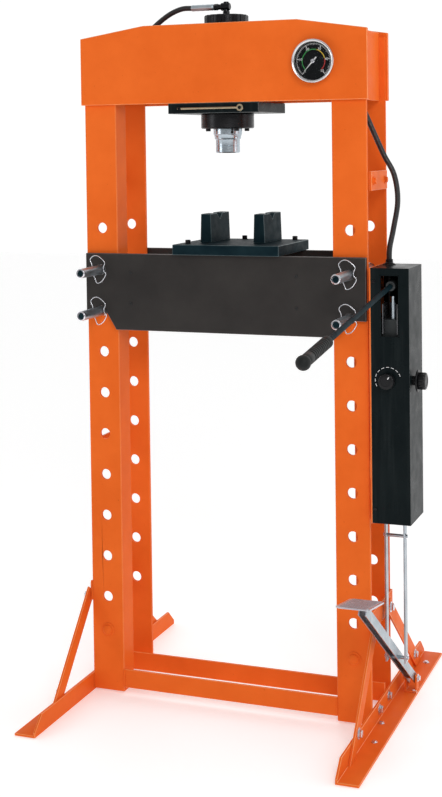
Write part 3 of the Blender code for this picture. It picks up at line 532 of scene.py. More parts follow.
def build_stage():
    build_sky()
    add_light("key", (2.2, -3.4, 3.2), (0.0, 0.0, 0.9), 1.6, 58.0)
    add_light("fill", (-3.2, -2.4, 1.8), (0.0, 0.0, 0.9), 1.2, 14.0)
    add_light("side", (3.6, 0.6, 1.7), (0.4, 0.0, 0.8), 1.6, 10.0)
    shape = bmesh.new()
    bmesh.ops.create_grid(shape, x_segments=1, y_segments=1, size=14.0)
    mesh = bpy.data.meshes.new("floor")
    shape.to_mesh(mesh)
    shape.free()
    floor = bpy.data.objects.new("floor", mesh)
    floor.location = (0, 0, -0.0005)
    bpy.context.scene.collection.objects.link(floor)
    material = bpy.data.materials.new("floor")
    material.use_nodes = True
    shader = material.node_tree.nodes["Principled BSDF"]
    shader.inputs["Base Color"].default_value = (0.94, 0.94, 0.94, 1.0)
    shader.inputs["Roughness"].default_value = 0.6
    shader.inputs["Emission Color"].default_value = (1.0, 1.0, 1.0, 1.0)
    shader.inputs["Emission Strength"].default_value = 0.27
    mesh.materials.append(material)


build_camera()
build_stage()


# ---- carried-over sheet metal --------------------------------------------------------------------------
def body_of(node):
    """Name of the CAD body that a node belongs to."""
    return NODES[node]["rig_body"]


def dress(node, finish, edge_highlight_finish, width, segments=2):
    """Rounded copy of a CAD node, with a lighter finish on its rounded edges as a painted highlight and worn
    paint, that stands for the node.
    """
    shape = bmesh.new()
    shape.from_mesh(NODES[node].data)
    bmesh.ops.remove_doubles(shape, verts=shape.verts, dist=0.00005)
    bmesh.ops.dissolve_limit(shape, angle_limit=math.radians(0.5), verts=shape.verts, edges=shape.edges)
    piece = finish_mesh(f"look_{node}", shape, [finish, edge_highlight_finish], body_of(node))
    for face in piece.data.polygons:
        face.material_index = 0
    # The bevel's edge faces take slot 1, the lighter finish that paints a highlight on the edges.
    bevel(piece, width, segments, 1)
    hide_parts(node)
    return piece


def stand_for(node, shape, materials, smooth_angle=32.0):
    """Makes a rebuilt shape the look of a CAD node, on its body, and hides the node."""
    piece = finish_mesh(f"look_{node}", shape, materials, body_of(node), smooth_angle)
    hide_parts(node)
    return piece


SHEET_METAL = {
    "upright_front": 0.0016,
    "upright_rear": 0.0012,
    "batten": 0.0010,
    "foot": 0.0012,
    "brace": 0.0012,
    "cross_member": 0.0012,
    "header_front": 0.0016,
    "header_rear": 0.0016,
    "header_web": 0.0010,
    "pump_back_plate": 0.0008,
}


def dress_sheet_metal():
    for node in sorted(NODES):
        for start, width in SHEET_METAL.items():
            if node.startswith(start):
                dress(node, "orange", "orange_edge_highlight_wear", width)
    for node in ("bed_front", "bed_rear", "bed_spacer_left", "bed_spacer_right"):
        dress(node, "charcoal", "charcoal_edge_highlight_wear", 0.0018)
    for node in ("arbor_plate", "v_block_left", "v_block_right"):
        dress(node, "slate", "slate_edge_highlight_wear", 0.0014)
    dress("support_plate", "black", "black_edge_highlight_wear", 0.0016)
    dress("pump_cover", "black", "black_edge_highlight_wear", 0.0014, 3)
    dress("pump_body", "cast", "cast", 0.0012)
    dress("hand_plunger", "chrome", "chrome", 0.0006)
    dress("handle_socket", "cast", "cast", 0.0008)
    # Pedal lever and link bars: bright zinc on their rounded edges as a painted highlight.
    for node in ("pedal_lever", "link_bars"):
        dress(node, "zinc_upright", "bright", 0.0006)
    dress("pedal_bracket", "orange", "orange_edge_highlight_wear", 0.0006)


dress_sheet_metal()


# ---- fasteners -----------------------------------------------------------------------------------------
def polygon_stack(levels, radius_at, steps):
    """A closed solid from (height, scale) levels of one outline given by radius over the angle."""
    shape = bmesh.new()
    rings = []
    for height, scale in levels:
        ring = []
        for k in range(steps):
            angle = math.tau * k / steps
            radius = radius_at(angle) * scale
            ring.append(shape.verts.new((radius * math.cos(angle), radius * math.sin(angle), height)))
        rings.append(ring)
    shape.faces.new(reversed(rings[0]))
    shape.faces.new(rings[-1])
    for one, other in zip(rings, rings[1:]):
        for k in range(steps):
            after = (k + 1) % steps
            shape.faces.new((one[k], one[after], other[after], other[k]))
    return shape


def facing(shape, place, direction):
    """Turns a shape built along +Z to face a direction, at the place given."""
    turn = Vector((0, 0, 1)).rotation_difference(Vector(direction)).to_matrix().to_4x4()
    shape.transform(Matrix.Translation(place) @ turn)
    return shape


def hex_head(place, direction, across, height, washer=True):
    """Hexagon bolt head on a washer, both with chamfered rims."""
    radius = across / 2 / math.cos(math.pi / 6)
    lift = 0.0016 if washer else 0.0
    head = polygon_stack([(lift, 0.97), (lift + 0.0005, 1.0), (height - 0.0008, 1.0), (height, 0.93)],
                         lambda angle: radius, 6)
    if washer:
        rim = across * 0.82
        profile = [(0, 0), (rim, 0), (rim, 0.0012), (rim - 0.0004, 0.0016), (0, 0.0016)]
        absorb(head, turned_shape(profile, (0, 0, 0), (0, 0, 1), 32))
    return facing(head, place, direction)


def cap_screw(place, direction, radius, height):
    """Cylinder-head screw with a hexagon socket."""
    head = turned_shape([
        (0, 0),
        (radius, 0),
        (radius, height - 0.0006),
        (radius - 0.0006, height),
        (radius * 0.55, height),
        (radius * 0.50, height * 0.45),
        (0, height * 0.45),
    ], (0, 0, 0), (0, 0, 1), 32)
    return facing(head, place, direction)


def bolt_group(name, places, direction, across, height, finish, slot_name, body="frame"):
    """Several equal bolts as one piece."""
    shape = bmesh.new()
    for place in places:
        absorb(shape, hex_head(place, direction, across, height))
    return finish_mesh(name, shape, [finish], body)


BATTEN_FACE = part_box("batten_low_right")[1].x - MIDDLE_X
BRACE_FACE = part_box("brace_front_right")[1].x - MIDDLE_X
BRACE_BOLTS = ((-0.172, 0.056), (0.000, 0.258), (0.415, 0.047), (0.150, 0.262))
LEG_BOLTS = ((0.050, 0.030), (0.145, 0.030))
BATTEN_BOLT_HEIGHTS = (1.372, 0.652)
BATTEN_BOLT_DEPTHS = (0.040, 0.155)
# Width across the flats and height of each kind of bolt head.
FRAME_BOLT = (0.017, 0.009)
BATTEN_BOLT = (0.013, 0.0065)


def build_frame_bolts():
    for side, name in ((-1, "left"), (1, "right")):
        out = (side, 0, 0)
        braces = [at(side * BRACE_FACE, y, z) for y, z in BRACE_BOLTS]
        bolt_group(f"brace_bolts_{name}", braces, out, *FRAME_BOLT, "bright", "zinc_plate")
        legs = [at(side * BATTEN_FACE, y, z) for y, z in LEG_BOLTS]
        bolt_group(f"leg_bolts_{name}", legs, out, *FRAME_BOLT, "bright", "zinc_plate")
        heights = BATTEN_BOLT_HEIGHTS if side < 0 else BATTEN_BOLT_HEIGHTS[:1]
        battens = [at(side * BATTEN_FACE, y, z) for z in heights for y in BATTEN_BOLT_DEPTHS]
        bolt_group(f"batten_bolts_{name}", battens, out, *BATTEN_BOLT, "orange", "orange_paint")


BOSS_X = 0.341
BOSS_Z = 0.170
# Distances of the weld beads from the middle of the frame, and the radius of a bead.
WELD_OUTER_X = 0.3875
WELD_INNER_X = 0.295
WELD_WEB_X = 0.3625
WELD_WEB_DEPTHS = (0.0095, 0.1855)
WELD_RADIUS = 0.0028


def build_upright_bosses():
    """Painted bolt head low on each front upright, on a broad washer."""
    for side, name in ((-1, "left"), (1, "right")):
        place = at(side * BOSS_X, 0, BOSS_Z)
        boss = turned_shape([(0, 0), (0.0185, 0), (0.0185, 0.0016), (0.0175, 0.0022), (0.0135, 0.0024),
                             (0.0125, 0.0065), (0.0100, 0.0085), (0, 0.0092)], place, (0, -1, 0), 48)
        piece = finish_mesh(f"upright_boss_{name}", boss, ["orange"], "frame", 50)
        piece.data.materials.append(FINISH["orange_edge_highlight_wear"])


def weld_bead(points, radius, name):
    """Rippled weld bead along straight runs, under the paint."""
    shape = bmesh.new()
    for start, end in points:
        start, end = Vector(start), Vector(end)
        length = (end - start).length
        count = max(2, int(length / (radius * 1.1)))
        along = (end - start).normalized()
        profile = [(0, 0)]
        for k in range(count * 2 + 1):
            swell = 1.0 if k % 2 else 0.78
            profile.append((radius * swell, length * (k + 0.5) / (count * 2 + 2)))
        profile.append((0, length))
        absorb(shape, turned_shape(profile, start, along, 10))
    return finish_mesh(name, shape, ["orange"], "frame", 80)


def build_welds():
    """Beads where header webs, feet and cross members meet the columns."""
    runs = []
    for side in (-1, 1):
        edge = side * WELD_OUTER_X
        runs.append((at(edge, -0.0003, 0.300), at(edge, -0.0003, 0.247)))
        runs.append((at(edge, -0.0003, 0.047), at(edge, -0.0003, 0.008)))
        inner = side * WELD_INNER_X
        runs.append((at(inner, -0.0005, 0.066), at(inner, -0.0005, 0.019)))
        for y in WELD_WEB_DEPTHS:
            runs.append((at(side * WELD_WEB_X, y, 1.577), at(side * WELD_WEB_X, y, 1.735)))
    weld_bead(runs, WELD_RADIUS, "weld_beads")


BED_SCREW_X = (-0.254, 0.203)
BED_SCREW_HEIGHTS = (1.133, 1.052)
ARBOR_SCREWS = ((-0.101, 0.015), (-0.013, 0.208), (0.131, 0.205))
# Radius and height of each kind of screw head.
BED_SCREW = (0.0042, 0.0016)
ARBOR_SCREW = (0.0070, 0.0100)
COLLAR_SCREW = (0.0065, 0.0070)
COVER_SCREW = (0.0042, 0.0026)


def build_bed_details():
    """Small screws in the bed's front plate and the cap screws of the arbor plate."""
    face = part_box("bed_front")[0].y
    shape = bmesh.new()
    for x in BED_SCREW_X:
        for z in BED_SCREW_HEIGHTS:
            place = Vector((x + MIDDLE_X, face, z))
            absorb(shape, cap_screw(place, (0, -1, 0), *BED_SCREW))
    finish_mesh("bed_screws", shape, ["socket"], "frame")
    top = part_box("arbor_plate")[1].z
    shape = bmesh.new()
    for x, y in ARBOR_SCREWS:
        place = at(x, y, 0)
        place.z = top
        absorb(shape, cap_screw(place, (0, 0, 1), *ARBOR_SCREW))
    finish_mesh("arbor_screws", shape, ["oxide"], "arbor_plate")


build_frame_bolts()
build_upright_bosses()
build_welds()
build_bed_details()


# ---- pins and clips ------------------------------------------------------------------------------------
# Depth of a pin's centre dimple, painted dark as painted shade, and of its rounded front rim, painted bright
# as a painted highlight, from the front end.
PIN_SHADED_DIMPLE = 0.0006
PIN_HIGHLIT_RIM = 0.0034


def build_pin(node):
    """Turned pin with chamfered ends, a centre dimple painted dark as painted shade and a bright zinc front
    rim as a painted highlight, standing for the plain one.
    """
    low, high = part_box(node)
    radius = (high.x - low.x) / 2
    middle = (low + high) / 2
    length = high.y - low.y
    start = Vector((middle.x, low.y, middle.z))
    profile = [
        (0, PIN_SHADED_DIMPLE),
        (radius * 0.62, PIN_SHADED_DIMPLE),
        (radius * 0.66, 0),
        (radius - 0.0030, 0),
        (radius - 0.0004, 0.0024),
        (radius, PIN_HIGHLIT_RIM),
        (radius, length - 0.003),
        (radius - 0.003, length),
        (0, length),
    ]
    shape = turned_shape(profile, start, (0, 1, 0), 56)
    piece = stand_for(node, shape, ["zinc", "bright", "slate"], 20)
    # Centre dimple: dark slate as painted shade. Front rim: bright zinc as a painted highlight.
    for face in piece.data.polygons:
        depth = face.center.y - start.y
        if depth < PIN_SHADED_DIMPLE + 0.00005 and face.normal.y < -0.9:
            face.material_index = 2
        elif depth < PIN_HIGHLIT_RIM + 0.0002:
            face.material_index = 1


# Bends of a clip's wire round its pin: metres across, and share of the clip's half height up.
CLIP_BEND = [
    (-0.0215, 0.72),
    (-0.0110, 0.98),
    (0.0030, 0.95),
    (0.0200, 0.55),
    (0.0165, 0.22),
    (0.0170, -0.03),
    (0.0235, -0.27),
    (0.0120, -0.75),
    (-0.0020, -0.90),
    (-0.0075, -0.62),
    (-0.0140, -0.24),
    (-0.0152, 0.00),
    (-0.0156, 0.18),
    (-0.0170, 0.40),
]
CLIP_WIRE_RADIUS = 0.0012
CLIP_POINT_SPACING = 0.0022


def build_clip(node):
    """Spring clip bent from wire: it clasps the pin, with one loop above it and one below."""
    low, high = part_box(node)
    middle = (low + high) / 2
    reach = (high.z - low.z) / 2 - 0.0026
    points = [Vector((middle.x + across, middle.y, middle.z + up * reach)) for across, up in CLIP_BEND]
    smooth = smooth_route(points, CLIP_POINT_SPACING, closed=True)[:-1]
    wire = tube_piece(f"look_{node}", smooth, CLIP_WIRE_RADIUS, "bright", body_of(node),
                      closed=True)
    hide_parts(node)


def build_pins():
    for row in ("upper", "lower"):
        for name in ("left", "right"):
            build_pin(f"bed_pin_{row}_{name}")
            build_clip(f"pin_clip_{row}_{name}")


build_pins()


# ---- cylinder, ram and ring nut ------------------------------------------------------------------------
BARREL_LOW, BARREL_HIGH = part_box("cylinder_barrel")
AXIS_X = (BARREL_LOW.x + BARREL_HIGH.x) / 2
AXIS_Y = (BARREL_LOW.y + BARREL_HIGH.y) / 2


def on_axis(profile, sides=96):
    """A turned shape on the cylinder's axis from (radius, height above the floor)."""
    return turned_shape(profile, (AXIS_X, AXIS_Y, 0), (0, 0, 1), sides)


def build_barrel():
    radius = (BARREL_HIGH.x - BARREL_LOW.x) / 2
    bore = (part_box("ram")[1].x - AXIS_X) * 0.93
    top = BARREL_HIGH.z
    low = BARREL_LOW.z
    shape = on_axis([
        (0, top), (radius - 0.002, top), (radius, top - 0.002), (radius, top - 0.030),
        (radius - 0.0012, top - 0.031), (radius - 0.0012, top - 0.034), (radius, top - 0.035),
        (radius, low + 0.001), (radius - 0.001, low), (bore, low), (bore, low + 0.010), (0, low + 0.010),
    ])
    stand_for("cylinder_barrel", shape, ["oxide"], 25)


def build_collar():
    low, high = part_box("cylinder_collar")
    radius = (high.x - low.x) / 2
    bore = 0.0355
    screw_circle = 0.056
    shape = on_axis([
        (radius - 0.002, high.z), (radius, high.z - 0.002), (radius, low.z + 0.0025),
        (radius - 0.0025, low.z), (bore + 0.010, low.z), (bore + 0.009, low.z + 0.003),
        (bore + 0.001, low.z + 0.003), (bore, low.z + 0.004), (bore, high.z),
    ])
    for k in range(4):
        angle = math.pi / 4 + math.pi / 2 * k
        x = AXIS_X + screw_circle * math.cos(angle)
        y = AXIS_Y + screw_circle * math.sin(angle)
        absorb(shape, cap_screw((x, y, low.z), (0, 0, -1), *COLLAR_SCREW))
    stand_for("cylinder_collar", shape, ["oxide"], 25)


def build_ring_nut():
    low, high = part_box("ring_nut")
    radius = (high.x - low.x) / 2
    height = high.z - low.z
    count = 16

    def outline(angle):
        """Rim radius, dipping at each grip notch."""
        offset = (angle * count / math.tau) % 1.0 - 0.5
        return radius * (0.955 if abs(offset) < 0.17 else 1.0)

    levels = [(0, 0.965), (0.002, 1.0), (height - 0.003, 1.0), (height - 0.001, 0.975), (height, 0.955)]
    shape = facing(polygon_stack(levels, outline, 192), (AXIS_X, AXIS_Y, low.z), (0, 0, 1))
    stand_for("ring_nut", shape, ["oxide"], 25)


def build_ram():
    low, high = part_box("ram")
    flare = (high.x - low.x) / 2
    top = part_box("cylinder_collar")[0].z - 0.0003
    rod_radius = 0.035
    nose = 0.032
    shape = on_axis([
        (0, high.z), (rod_radius, high.z), (rod_radius, top), (flare - 0.001, top), (flare, top - 0.001),
        (flare, top - 0.0145), (flare - 0.0012, top - 0.0160), (rod_radius, top - 0.0215),
        (rod_radius, top - 0.0258), (nose + 0.0004, top - 0.0285), (nose, top - 0.030), (nose, top - 0.0440),
        (nose - 0.0006, top - 0.0445), (nose - 0.0006, top - 0.0460), (nose, top - 0.0465),
        (nose, low.z + 0.0025), (nose - 0.0025, low.z), (0.012, low.z), (0.011, low.z + 0.004),
        (0, low.z + 0.004),
    ], 112)
    stand_for("ram", shape, ["chrome"], 22)
    angle = math.radians(-52)
    out = Vector((math.cos(angle), math.sin(angle), 0))
    place = Vector((AXIS_X, AXIS_Y, top - 0.0095)) + out * (flare - 0.0002)
    screw = cap_screw(place, out, 0.0038, 0.0010)
    finish_mesh("ram_set_screw", screw, ["socket"], "ram")


def build_locking_rod():
    """Rod with an eye along the support plate, with a black screw at each end."""
    low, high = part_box("locking_rod")
    y = (low.y + high.y) / 2
    z = (low.z + high.z) / 2
    radius = (high.y - low.y) / 2
    eye_radius = (high.z - low.z) / 2
    eye_x = high.x - eye_radius
    length = eye_x - low.x - 0.006
    shape = turned_shape([(0, 0), (radius - 0.0006, 0), (radius, 0.0006), (radius, length), (0, length)],
                         (low.x, y, z), (1, 0, 0), 24)
    ring = [(eye_radius - 0.0006, -radius * 0.8), (eye_radius, -radius * 0.6), (eye_radius, radius * 0.6),
            (eye_radius - 0.0006, radius * 0.8), (0.0045, radius * 0.8), (0.0045, -radius * 0.8)]
    absorb(shape, turned_shape(ring, (eye_x, y, z), (0, 1, 0), 40))
    stand_for("locking_rod", shape, ["brass"], 30)
    screws = bmesh.new()
    for x in (low.x + 0.006, eye_x):
        absorb(screws, cap_screw((x, y - radius * 0.4, z), (0, -1, 0), 0.0042, 0.0040))
    finish_mesh("locking_rod_screws", screws, ["oxide"], "frame")


build_barrel()
build_collar()
build_ring_nut()
build_ram()
build_locking_rod()


# ---- hose and its fittings -----------------------------------------------------------------------------
HOSE_RADIUS = 0.007
HOSE_POINT_SPACING = 0.006
HOSE_ROUTE = [
    (0.420, 0.081, 1.1593),
    (0.421, 0.082, 1.200),
    (0.430, 0.088, 1.250),
    (0.440, 0.094, 1.320),
    (0.431, 0.096, 1.385),
    (0.405, 0.097, 1.435),
    (0.380, 0.097, 1.490),
    (0.358, 0.097, 1.540),
    (0.335, 0.100, 1.590),
    (0.300, 0.115, 1.635),
    (0.250, 0.140, 1.650),
    (0.180, 0.165, 1.652),
    (0.080, 0.176, 1.652),
    (-0.020, 0.177, 1.652),
    (-0.120, 0.174, 1.652),
    (-0.195, 0.165, 1.655),
    (-0.255, 0.147, 1.669),
    (-0.286, 0.126, 1.702),
    (-0.276, 0.108, 1.740),
    (-0.243, 0.0995, 1.768),
    (-0.208, 0.0975, 1.796),
    (-0.175, 0.0975, 1.817),
    (-0.142, 0.0975, 1.8285),
    (-0.1106, 0.0975, 1.829),
]


def build_hose():
    route = smooth_route([at(*point) for point in HOSE_ROUTE], HOSE_POINT_SPACING)
    hose = tube_piece("look_hydraulic_hose", route, HOSE_RADIUS, "hose", "frame")
    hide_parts("hydraulic_hose")
    lower = turned_shape([
        (0.0074, 0), (0.0112, 0), (0.0112, 0.004), (0.0092, 0.006), (0.0092, 0.012), (0.0080, 0.014),
        (0.0074, 0.014),
    ], route[0] + Vector((0, 0, 0.0002)), (route[7] - route[0]).normalized(), 48)
    finish_mesh("hose_sleeve_lower", lower, ["oxide"], "frame", 30)


def build_elbow():
    """Pipe bend from the ring nut to the hose, with a hexagon at its foot and a crimped sleeve."""
    low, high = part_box("hose_elbow")
    hose_z = HOSE_ROUTE[-1][2]
    foot = Vector((AXIS_X, AXIS_Y, low.z))
    stem = polygon_stack([(0, 0.96), (0.0008, 1.0), (0.0098, 1.0), (0.0105, 0.94)],
                         lambda angle: 0.0098, 6)
    shape = facing(stem, foot, (0, 0, 1))
    height = high.z - low.z
    pipe = [(0, 0), (0.0076, 0), (0.0076, 0.0320), (0.0066, height), (0, height)]
    absorb(shape, turned_shape(pipe, foot, (0, 0, 1), 40))
    body = [(0, -0.0105), (0.0085, -0.0105), (0.0105, -0.0085), (0.0105, 0.012), (0.0090, 0.014),
            (0.0072, 0.014), (0.0072, 0.024), (0, 0.024)]
    absorb(shape, turned_shape(body, (AXIS_X, AXIS_Y, hose_z), (-1, 0, 0), 40))
    nut = polygon_stack([(0, 0.95), (0.0008, 1.0), (0.0110, 1.0), (0.0120, 0.95)], lambda angle: 0.0086, 6)
    absorb(shape, facing(nut, (AXIS_X - 0.022, AXIS_Y, hose_z), (-1, 0, 0)))
    stand_for("hose_elbow", shape, ["oxide"], 30)
    start = Vector((AXIS_X - 0.034, AXIS_Y, hose_z))
    profile = [(0.0074, 0)]
    reach = start.x - low.x + 0.004
    for k in range(9):
        at_length = reach * (0.06 + 0.88 * k / 8)
        radius = 0.0085 if k % 2 == 0 else 0.0080
        profile.append((radius, at_length))
    profile += [(0.0078, reach), (0.0074, reach)]
    sleeve = turned_shape(profile, start, (-1, 0, 0), 48)
    finish_mesh("hose_sleeve_upper", sleeve, ["zinc"], "frame", 20)


build_hose()
build_elbow()


# ---- gauge ---------------------------------------------------------------------------------------------
CASE_LOW, CASE_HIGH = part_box("gauge_case")
GAUGE_MIDDLE = (CASE_LOW + CASE_HIGH) / 2
DIAL_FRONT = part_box("gauge_dial")[0].y
DIAL_RADIUS = 0.0467
DIAL_START = math.radians(222)
DIAL_SWEEP = math.radians(276)
DIAL_DIVISIONS = 50
DIAL_MARKS = 5
TICK_OUTER = 0.0435
# Inner radius of a tick at every tenth, every fifth and every other division.
TICK_LONG = 0.0375
TICK_MIDDLE = 0.0395
TICK_SHORT = 0.0412
# Length of the ring of ticks over the whole sweep, which turns a tick's width into a share of it.
TICK_RING = 0.2
RING_RADII = (0.0437, 0.0442)
BAND_RADII = (0.0285, 0.0303)
BANDS = (("green", 0.0, 0.55), ("yellow", 0.56, 0.78), ("red", 0.79, 1.0))
NUMBER_RADIUS = 0.0335
NUMBER_SIZE = 0.0088


def dial_point(radius, share, lift=0.0):
    """Point on the dial at a share of its sweep, clockwise from the zero mark."""
    angle = DIAL_START + DIAL_SWEEP * share
    x = GAUGE_MIDDLE.x + radius * math.sin(angle)
    return Vector((x, DIAL_FRONT - 0.0001 - lift, GAUGE_MIDDLE.z + radius * math.cos(angle)))


def dial_band(shape, inner, outer, start, end, steps):
    """Flat printed band between two radii, over part of the sweep."""
    rows = []
    for k in range(steps + 1):
        share = start + (end - start) * k / steps
        rows.append([shape.verts.new(dial_point(radius, share)) for radius in (inner, outer)])
    for one, other in zip(rows, rows[1:]):
        shape.faces.new((one[0], other[0], other[1], one[1]))


def printed(name, shape, finish):
    """Printed mark on the dial, as a very thin plate."""
    bmesh.ops.recalc_face_normals(shape, faces=shape.faces)
    grown = bmesh.ops.extrude_face_region(shape, geom=shape.faces[:])
    moved = [item for item in grown["geom"] if isinstance(item, bmesh.types.BMVert)]
    bmesh.ops.translate(shape, verts=moved, vec=(0, -0.0002, 0))
    return finish_mesh(name, shape, [finish], "frame")


def build_dial_print():
    ticks = bmesh.new()
    for k in range(DIAL_DIVISIONS + 1):
        inner = TICK_LONG if k % 10 == 0 else (TICK_MIDDLE if k % 5 == 0 else TICK_SHORT)
        width = 0.0016 if k % 10 == 0 else 0.0008
        share = k / DIAL_DIVISIONS
        half = width / 2 / TICK_RING
        dial_band(ticks, inner, TICK_OUTER, share - half, share + half, 1)
    printed("dial_ticks", ticks, "white")
    ring = bmesh.new()
    dial_band(ring, *RING_RADII, 0.0, 1.0, 72)
    printed("dial_ring", ring, "white")
    for name, start, end in BANDS:
        band = bmesh.new()
        dial_band(band, *BAND_RADII, start, end, 36)
        printed(f"dial_band_{name}", band, name)


def build_dial_numbers():
    """Generic pressure numbers round the dial."""
    whole = bmesh.new()
    for k in range(DIAL_MARKS + 1):
        text = bpy.data.curves.new("number", "FONT")
        text.body = str(k * 10)
        text.size = NUMBER_SIZE
        text.align_x = "CENTER"
        text.align_y = "CENTER"
        text.extrude = 0.0001
        holder = bpy.data.objects.new("number", text)
        bpy.context.scene.collection.objects.link(holder)
        bpy.context.view_layer.update()
        mesh = bpy.data.meshes.new_from_object(holder)
        place = Matrix.Translation(dial_point(NUMBER_RADIUS, k / DIAL_MARKS, 0.0001))
        mesh.transform(place @ Matrix.Rotation(math.pi / 2, 4, "X"))
        whole.from_mesh(mesh)
        bpy.data.objects.remove(holder)
        bpy.data.meshes.remove(mesh)
    finish_mesh("dial_numbers", whole, ["white"], "frame")


def build_gauge():
    radius = (CASE_HIGH.x - CASE_LOW.x) / 2
    back = CASE_HIGH.y
    depth = back - CASE_LOW.y
    floor = back - DIAL_FRONT - 0.0020
    case = turned_shape([
        (0, 0), (radius - 0.006, 0), (radius - 0.005, 0.001), (radius - 0.005, depth - 0.0110),
        (radius - 0.001, depth - 0.0100), (radius, depth - 0.0085), (radius, depth - 0.0035),
        (radius - 0.0012, depth - 0.0012), (radius - 0.0035, depth), (radius - 0.0058, depth - 0.0008),
        (DIAL_RADIUS + 0.0012, depth - 0.0028), (DIAL_RADIUS + 0.0003, depth - 0.0040),
        (DIAL_RADIUS + 0.0003, floor), (0, floor),
    ], (GAUGE_MIDDLE.x, back, GAUGE_MIDDLE.z), (0, -1, 0), 112)
    stand_for("gauge_case", case, ["bezel"], 40)
    dial = turned_shape([
        (0, 0), (DIAL_RADIUS, 0), (DIAL_RADIUS, 0.0010), (DIAL_RADIUS - 0.0006, 0.0015), (0, 0.0015),
    ], (GAUGE_MIDDLE.x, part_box("gauge_dial")[1].y, GAUGE_MIDDLE.z), (0, -1, 0), 96)
    stand_for("gauge_dial", dial, ["dial"])
    build_dial_print()
    build_dial_numbers()
    lens = turned_shape([
        (0, 0), (DIAL_RADIUS, 0), (DIAL_RADIUS, 0.0012), (DIAL_RADIUS * 0.7, 0.0019), (0, 0.0022),
    ], (GAUGE_MIDDLE.x, CASE_LOW.y + 0.0062, GAUGE_MIDDLE.z), (0, -1, 0), 96)
    finish_mesh("gauge_lens", lens, ["glass"], "frame", 40)
    dress("gauge_needle", "white", "white", 0.0002)
    hub = turned_shape([(0, 0), (0.0052, 0), (0.0052, 0.0012), (0.0040, 0.0022), (0, 0.0024)],
                       (GAUGE_MIDDLE.x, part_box("gauge_needle")[0].y, GAUGE_MIDDLE.z), (0, -1, 0), 40)
    finish_mesh("needle_hub", hub, ["bright"], "gauge_needle")
    flange = bmesh.new()
    for k in range(3):
        angle = math.radians(90 + 120 * k)
        place = GAUGE_MIDDLE + Vector((0.0515 * math.cos(angle), 0, 0.0515 * math.sin(angle)))
        place.y = CASE_LOW.y + 0.0006
        absorb(flange, cap_screw(place, (0, -1, 0), 0.0013, 0.0005))
    finish_mesh("bezel_screws", flange, ["zinc"], "frame")


build_gauge()


# ---- pump box, knobs and handle ------------------------------------------------------------------------
COVER_LOW, COVER_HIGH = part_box("pump_cover")
RELEASE_LOW, RELEASE_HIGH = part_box("release_knob")
RELEASE_MIDDLE = (RELEASE_LOW + RELEASE_HIGH) / 2
KNOB_RIBS = 20
SIDE_KNOB_RADIUS = 0.0215
# Printed dashes round the release knob: radii, count, first angle, pitch and length in degrees.
DASH_RADII = (0.0318, 0.0332)
DASH_COUNT = 9
DASH_FIRST = 20
DASH_PITCH = 22
DASH_LENGTH = 13


def knurled_knob(levels, radius, ribs):
    """Knob with ribs round its rim, from (height, scale) levels."""
    def outline(angle):
        """Rim radius with round ribs."""
        return radius * (1.0 - 0.022 + 0.022 * math.cos(ribs * angle))

    return polygon_stack(levels, outline, ribs * 8)


def build_release_knob():
    radius = (RELEASE_HIGH.x - RELEASE_LOW.x) / 2
    reach = RELEASE_HIGH.y - RELEASE_LOW.y
    place = Vector((RELEASE_MIDDLE.x, RELEASE_HIGH.y, RELEASE_MIDDLE.z))
    levels = [(0, 0.48), (0.0050, 0.48), (0.0055, 0.96), (0.0070, 1.0), (reach - 0.0040, 1.0),
              (reach - 0.0012, 0.95), (reach, 0.84), (reach, 0.60), (reach - 0.0008, 0.56)]
    knob = facing(knurled_knob(levels, radius, KNOB_RIBS), place, (0, -1, 0))
    stand_for("release_knob", knob, ["knob"], 40)
    # White bar on the knob's front: a painted highlight where the knob catches the light.
    mark = box_shape((-0.0011, -0.0004, 0.0085), (0.0011, 0.0004, 0.0150))
    spot = Matrix.Translation((place.x, RELEASE_LOW.y + 0.0001, place.z))
    mark.transform(spot @ Matrix.Rotation(0.6, 4, "Y"))
    finish_mesh("release_knob_painted_highlight", mark, ["white"], "release_knob")


def build_release_scale():
    """Printed dashes round the release knob."""
    front = COVER_LOW.y
    shape = bmesh.new()

    def arc(inner, outer, start, end, steps):
        rows = []
        for k in range(steps + 1):
            angle = math.radians(start + (end - start) * k / steps)
            row = []
            for radius in (inner, outer):
                x = RELEASE_MIDDLE.x + radius * math.cos(angle)
                z = RELEASE_MIDDLE.z + radius * math.sin(angle)
                row.append(shape.verts.new((x, front - 0.0001, z)))
            rows.append(row)
        for one, other in zip(rows, rows[1:]):
            shape.faces.new((one[0], other[0], other[1], one[1]))

    for k in range(DASH_COUNT):
        angle = DASH_FIRST + DASH_PITCH * k
        arc(*DASH_RADII, angle, angle + DASH_LENGTH, 6)
    printed("release_scale", shape, "white")


def build_side_knob():
    low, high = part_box("side_knob")
    place = Vector((low.x, (low.y + high.y) / 2, (low.z + high.z) / 2))
    reach = high.x - low.x
    flange = turned_shape([(0, 0), (0.012, 0), (0.012, 0.0095), (0.0266, 0.0095), (0.0275, 0.0104),
                           (0.0275, 0.0126), (0.0266, 0.0135), (0, 0.0135)], place, (1, 0, 0), 72)
    levels = [(0.0136, 0.96), (0.0150, 1.0), (reach - 0.0040, 1.0), (reach - 0.0012, 0.95), (reach, 0.84),
              (reach, 0.60), (reach - 0.0008, 0.56)]
    absorb(flange, facing(knurled_knob(levels, SIDE_KNOB_RADIUS, KNOB_RIBS), place, (1, 0, 0)))
    stand_for("side_knob", flange, ["knob"], 40)


COVER_SHEET = 0.0032
CHEEK_X = (0.4268, 0.4632)
CHEEK_HEIGHTS = (0.996, 1.070)
CHEEK_DEPTH = 0.050
# Outer and inner outline of the slot's lips, as (x, z) corners.
LIP_OUTER = ((0.4205, 0.9875), (0.4695, 1.1425))
LIP_INNER = ((0.4230, 0.9900), (0.4670, 1.1400))
COVER_SCREW_X = 0.4045
BACK_SCREW_HEIGHTS = (0.560, 0.840, 1.120)
FRONT_SCREW_HEIGHTS = (0.560, 1.125)


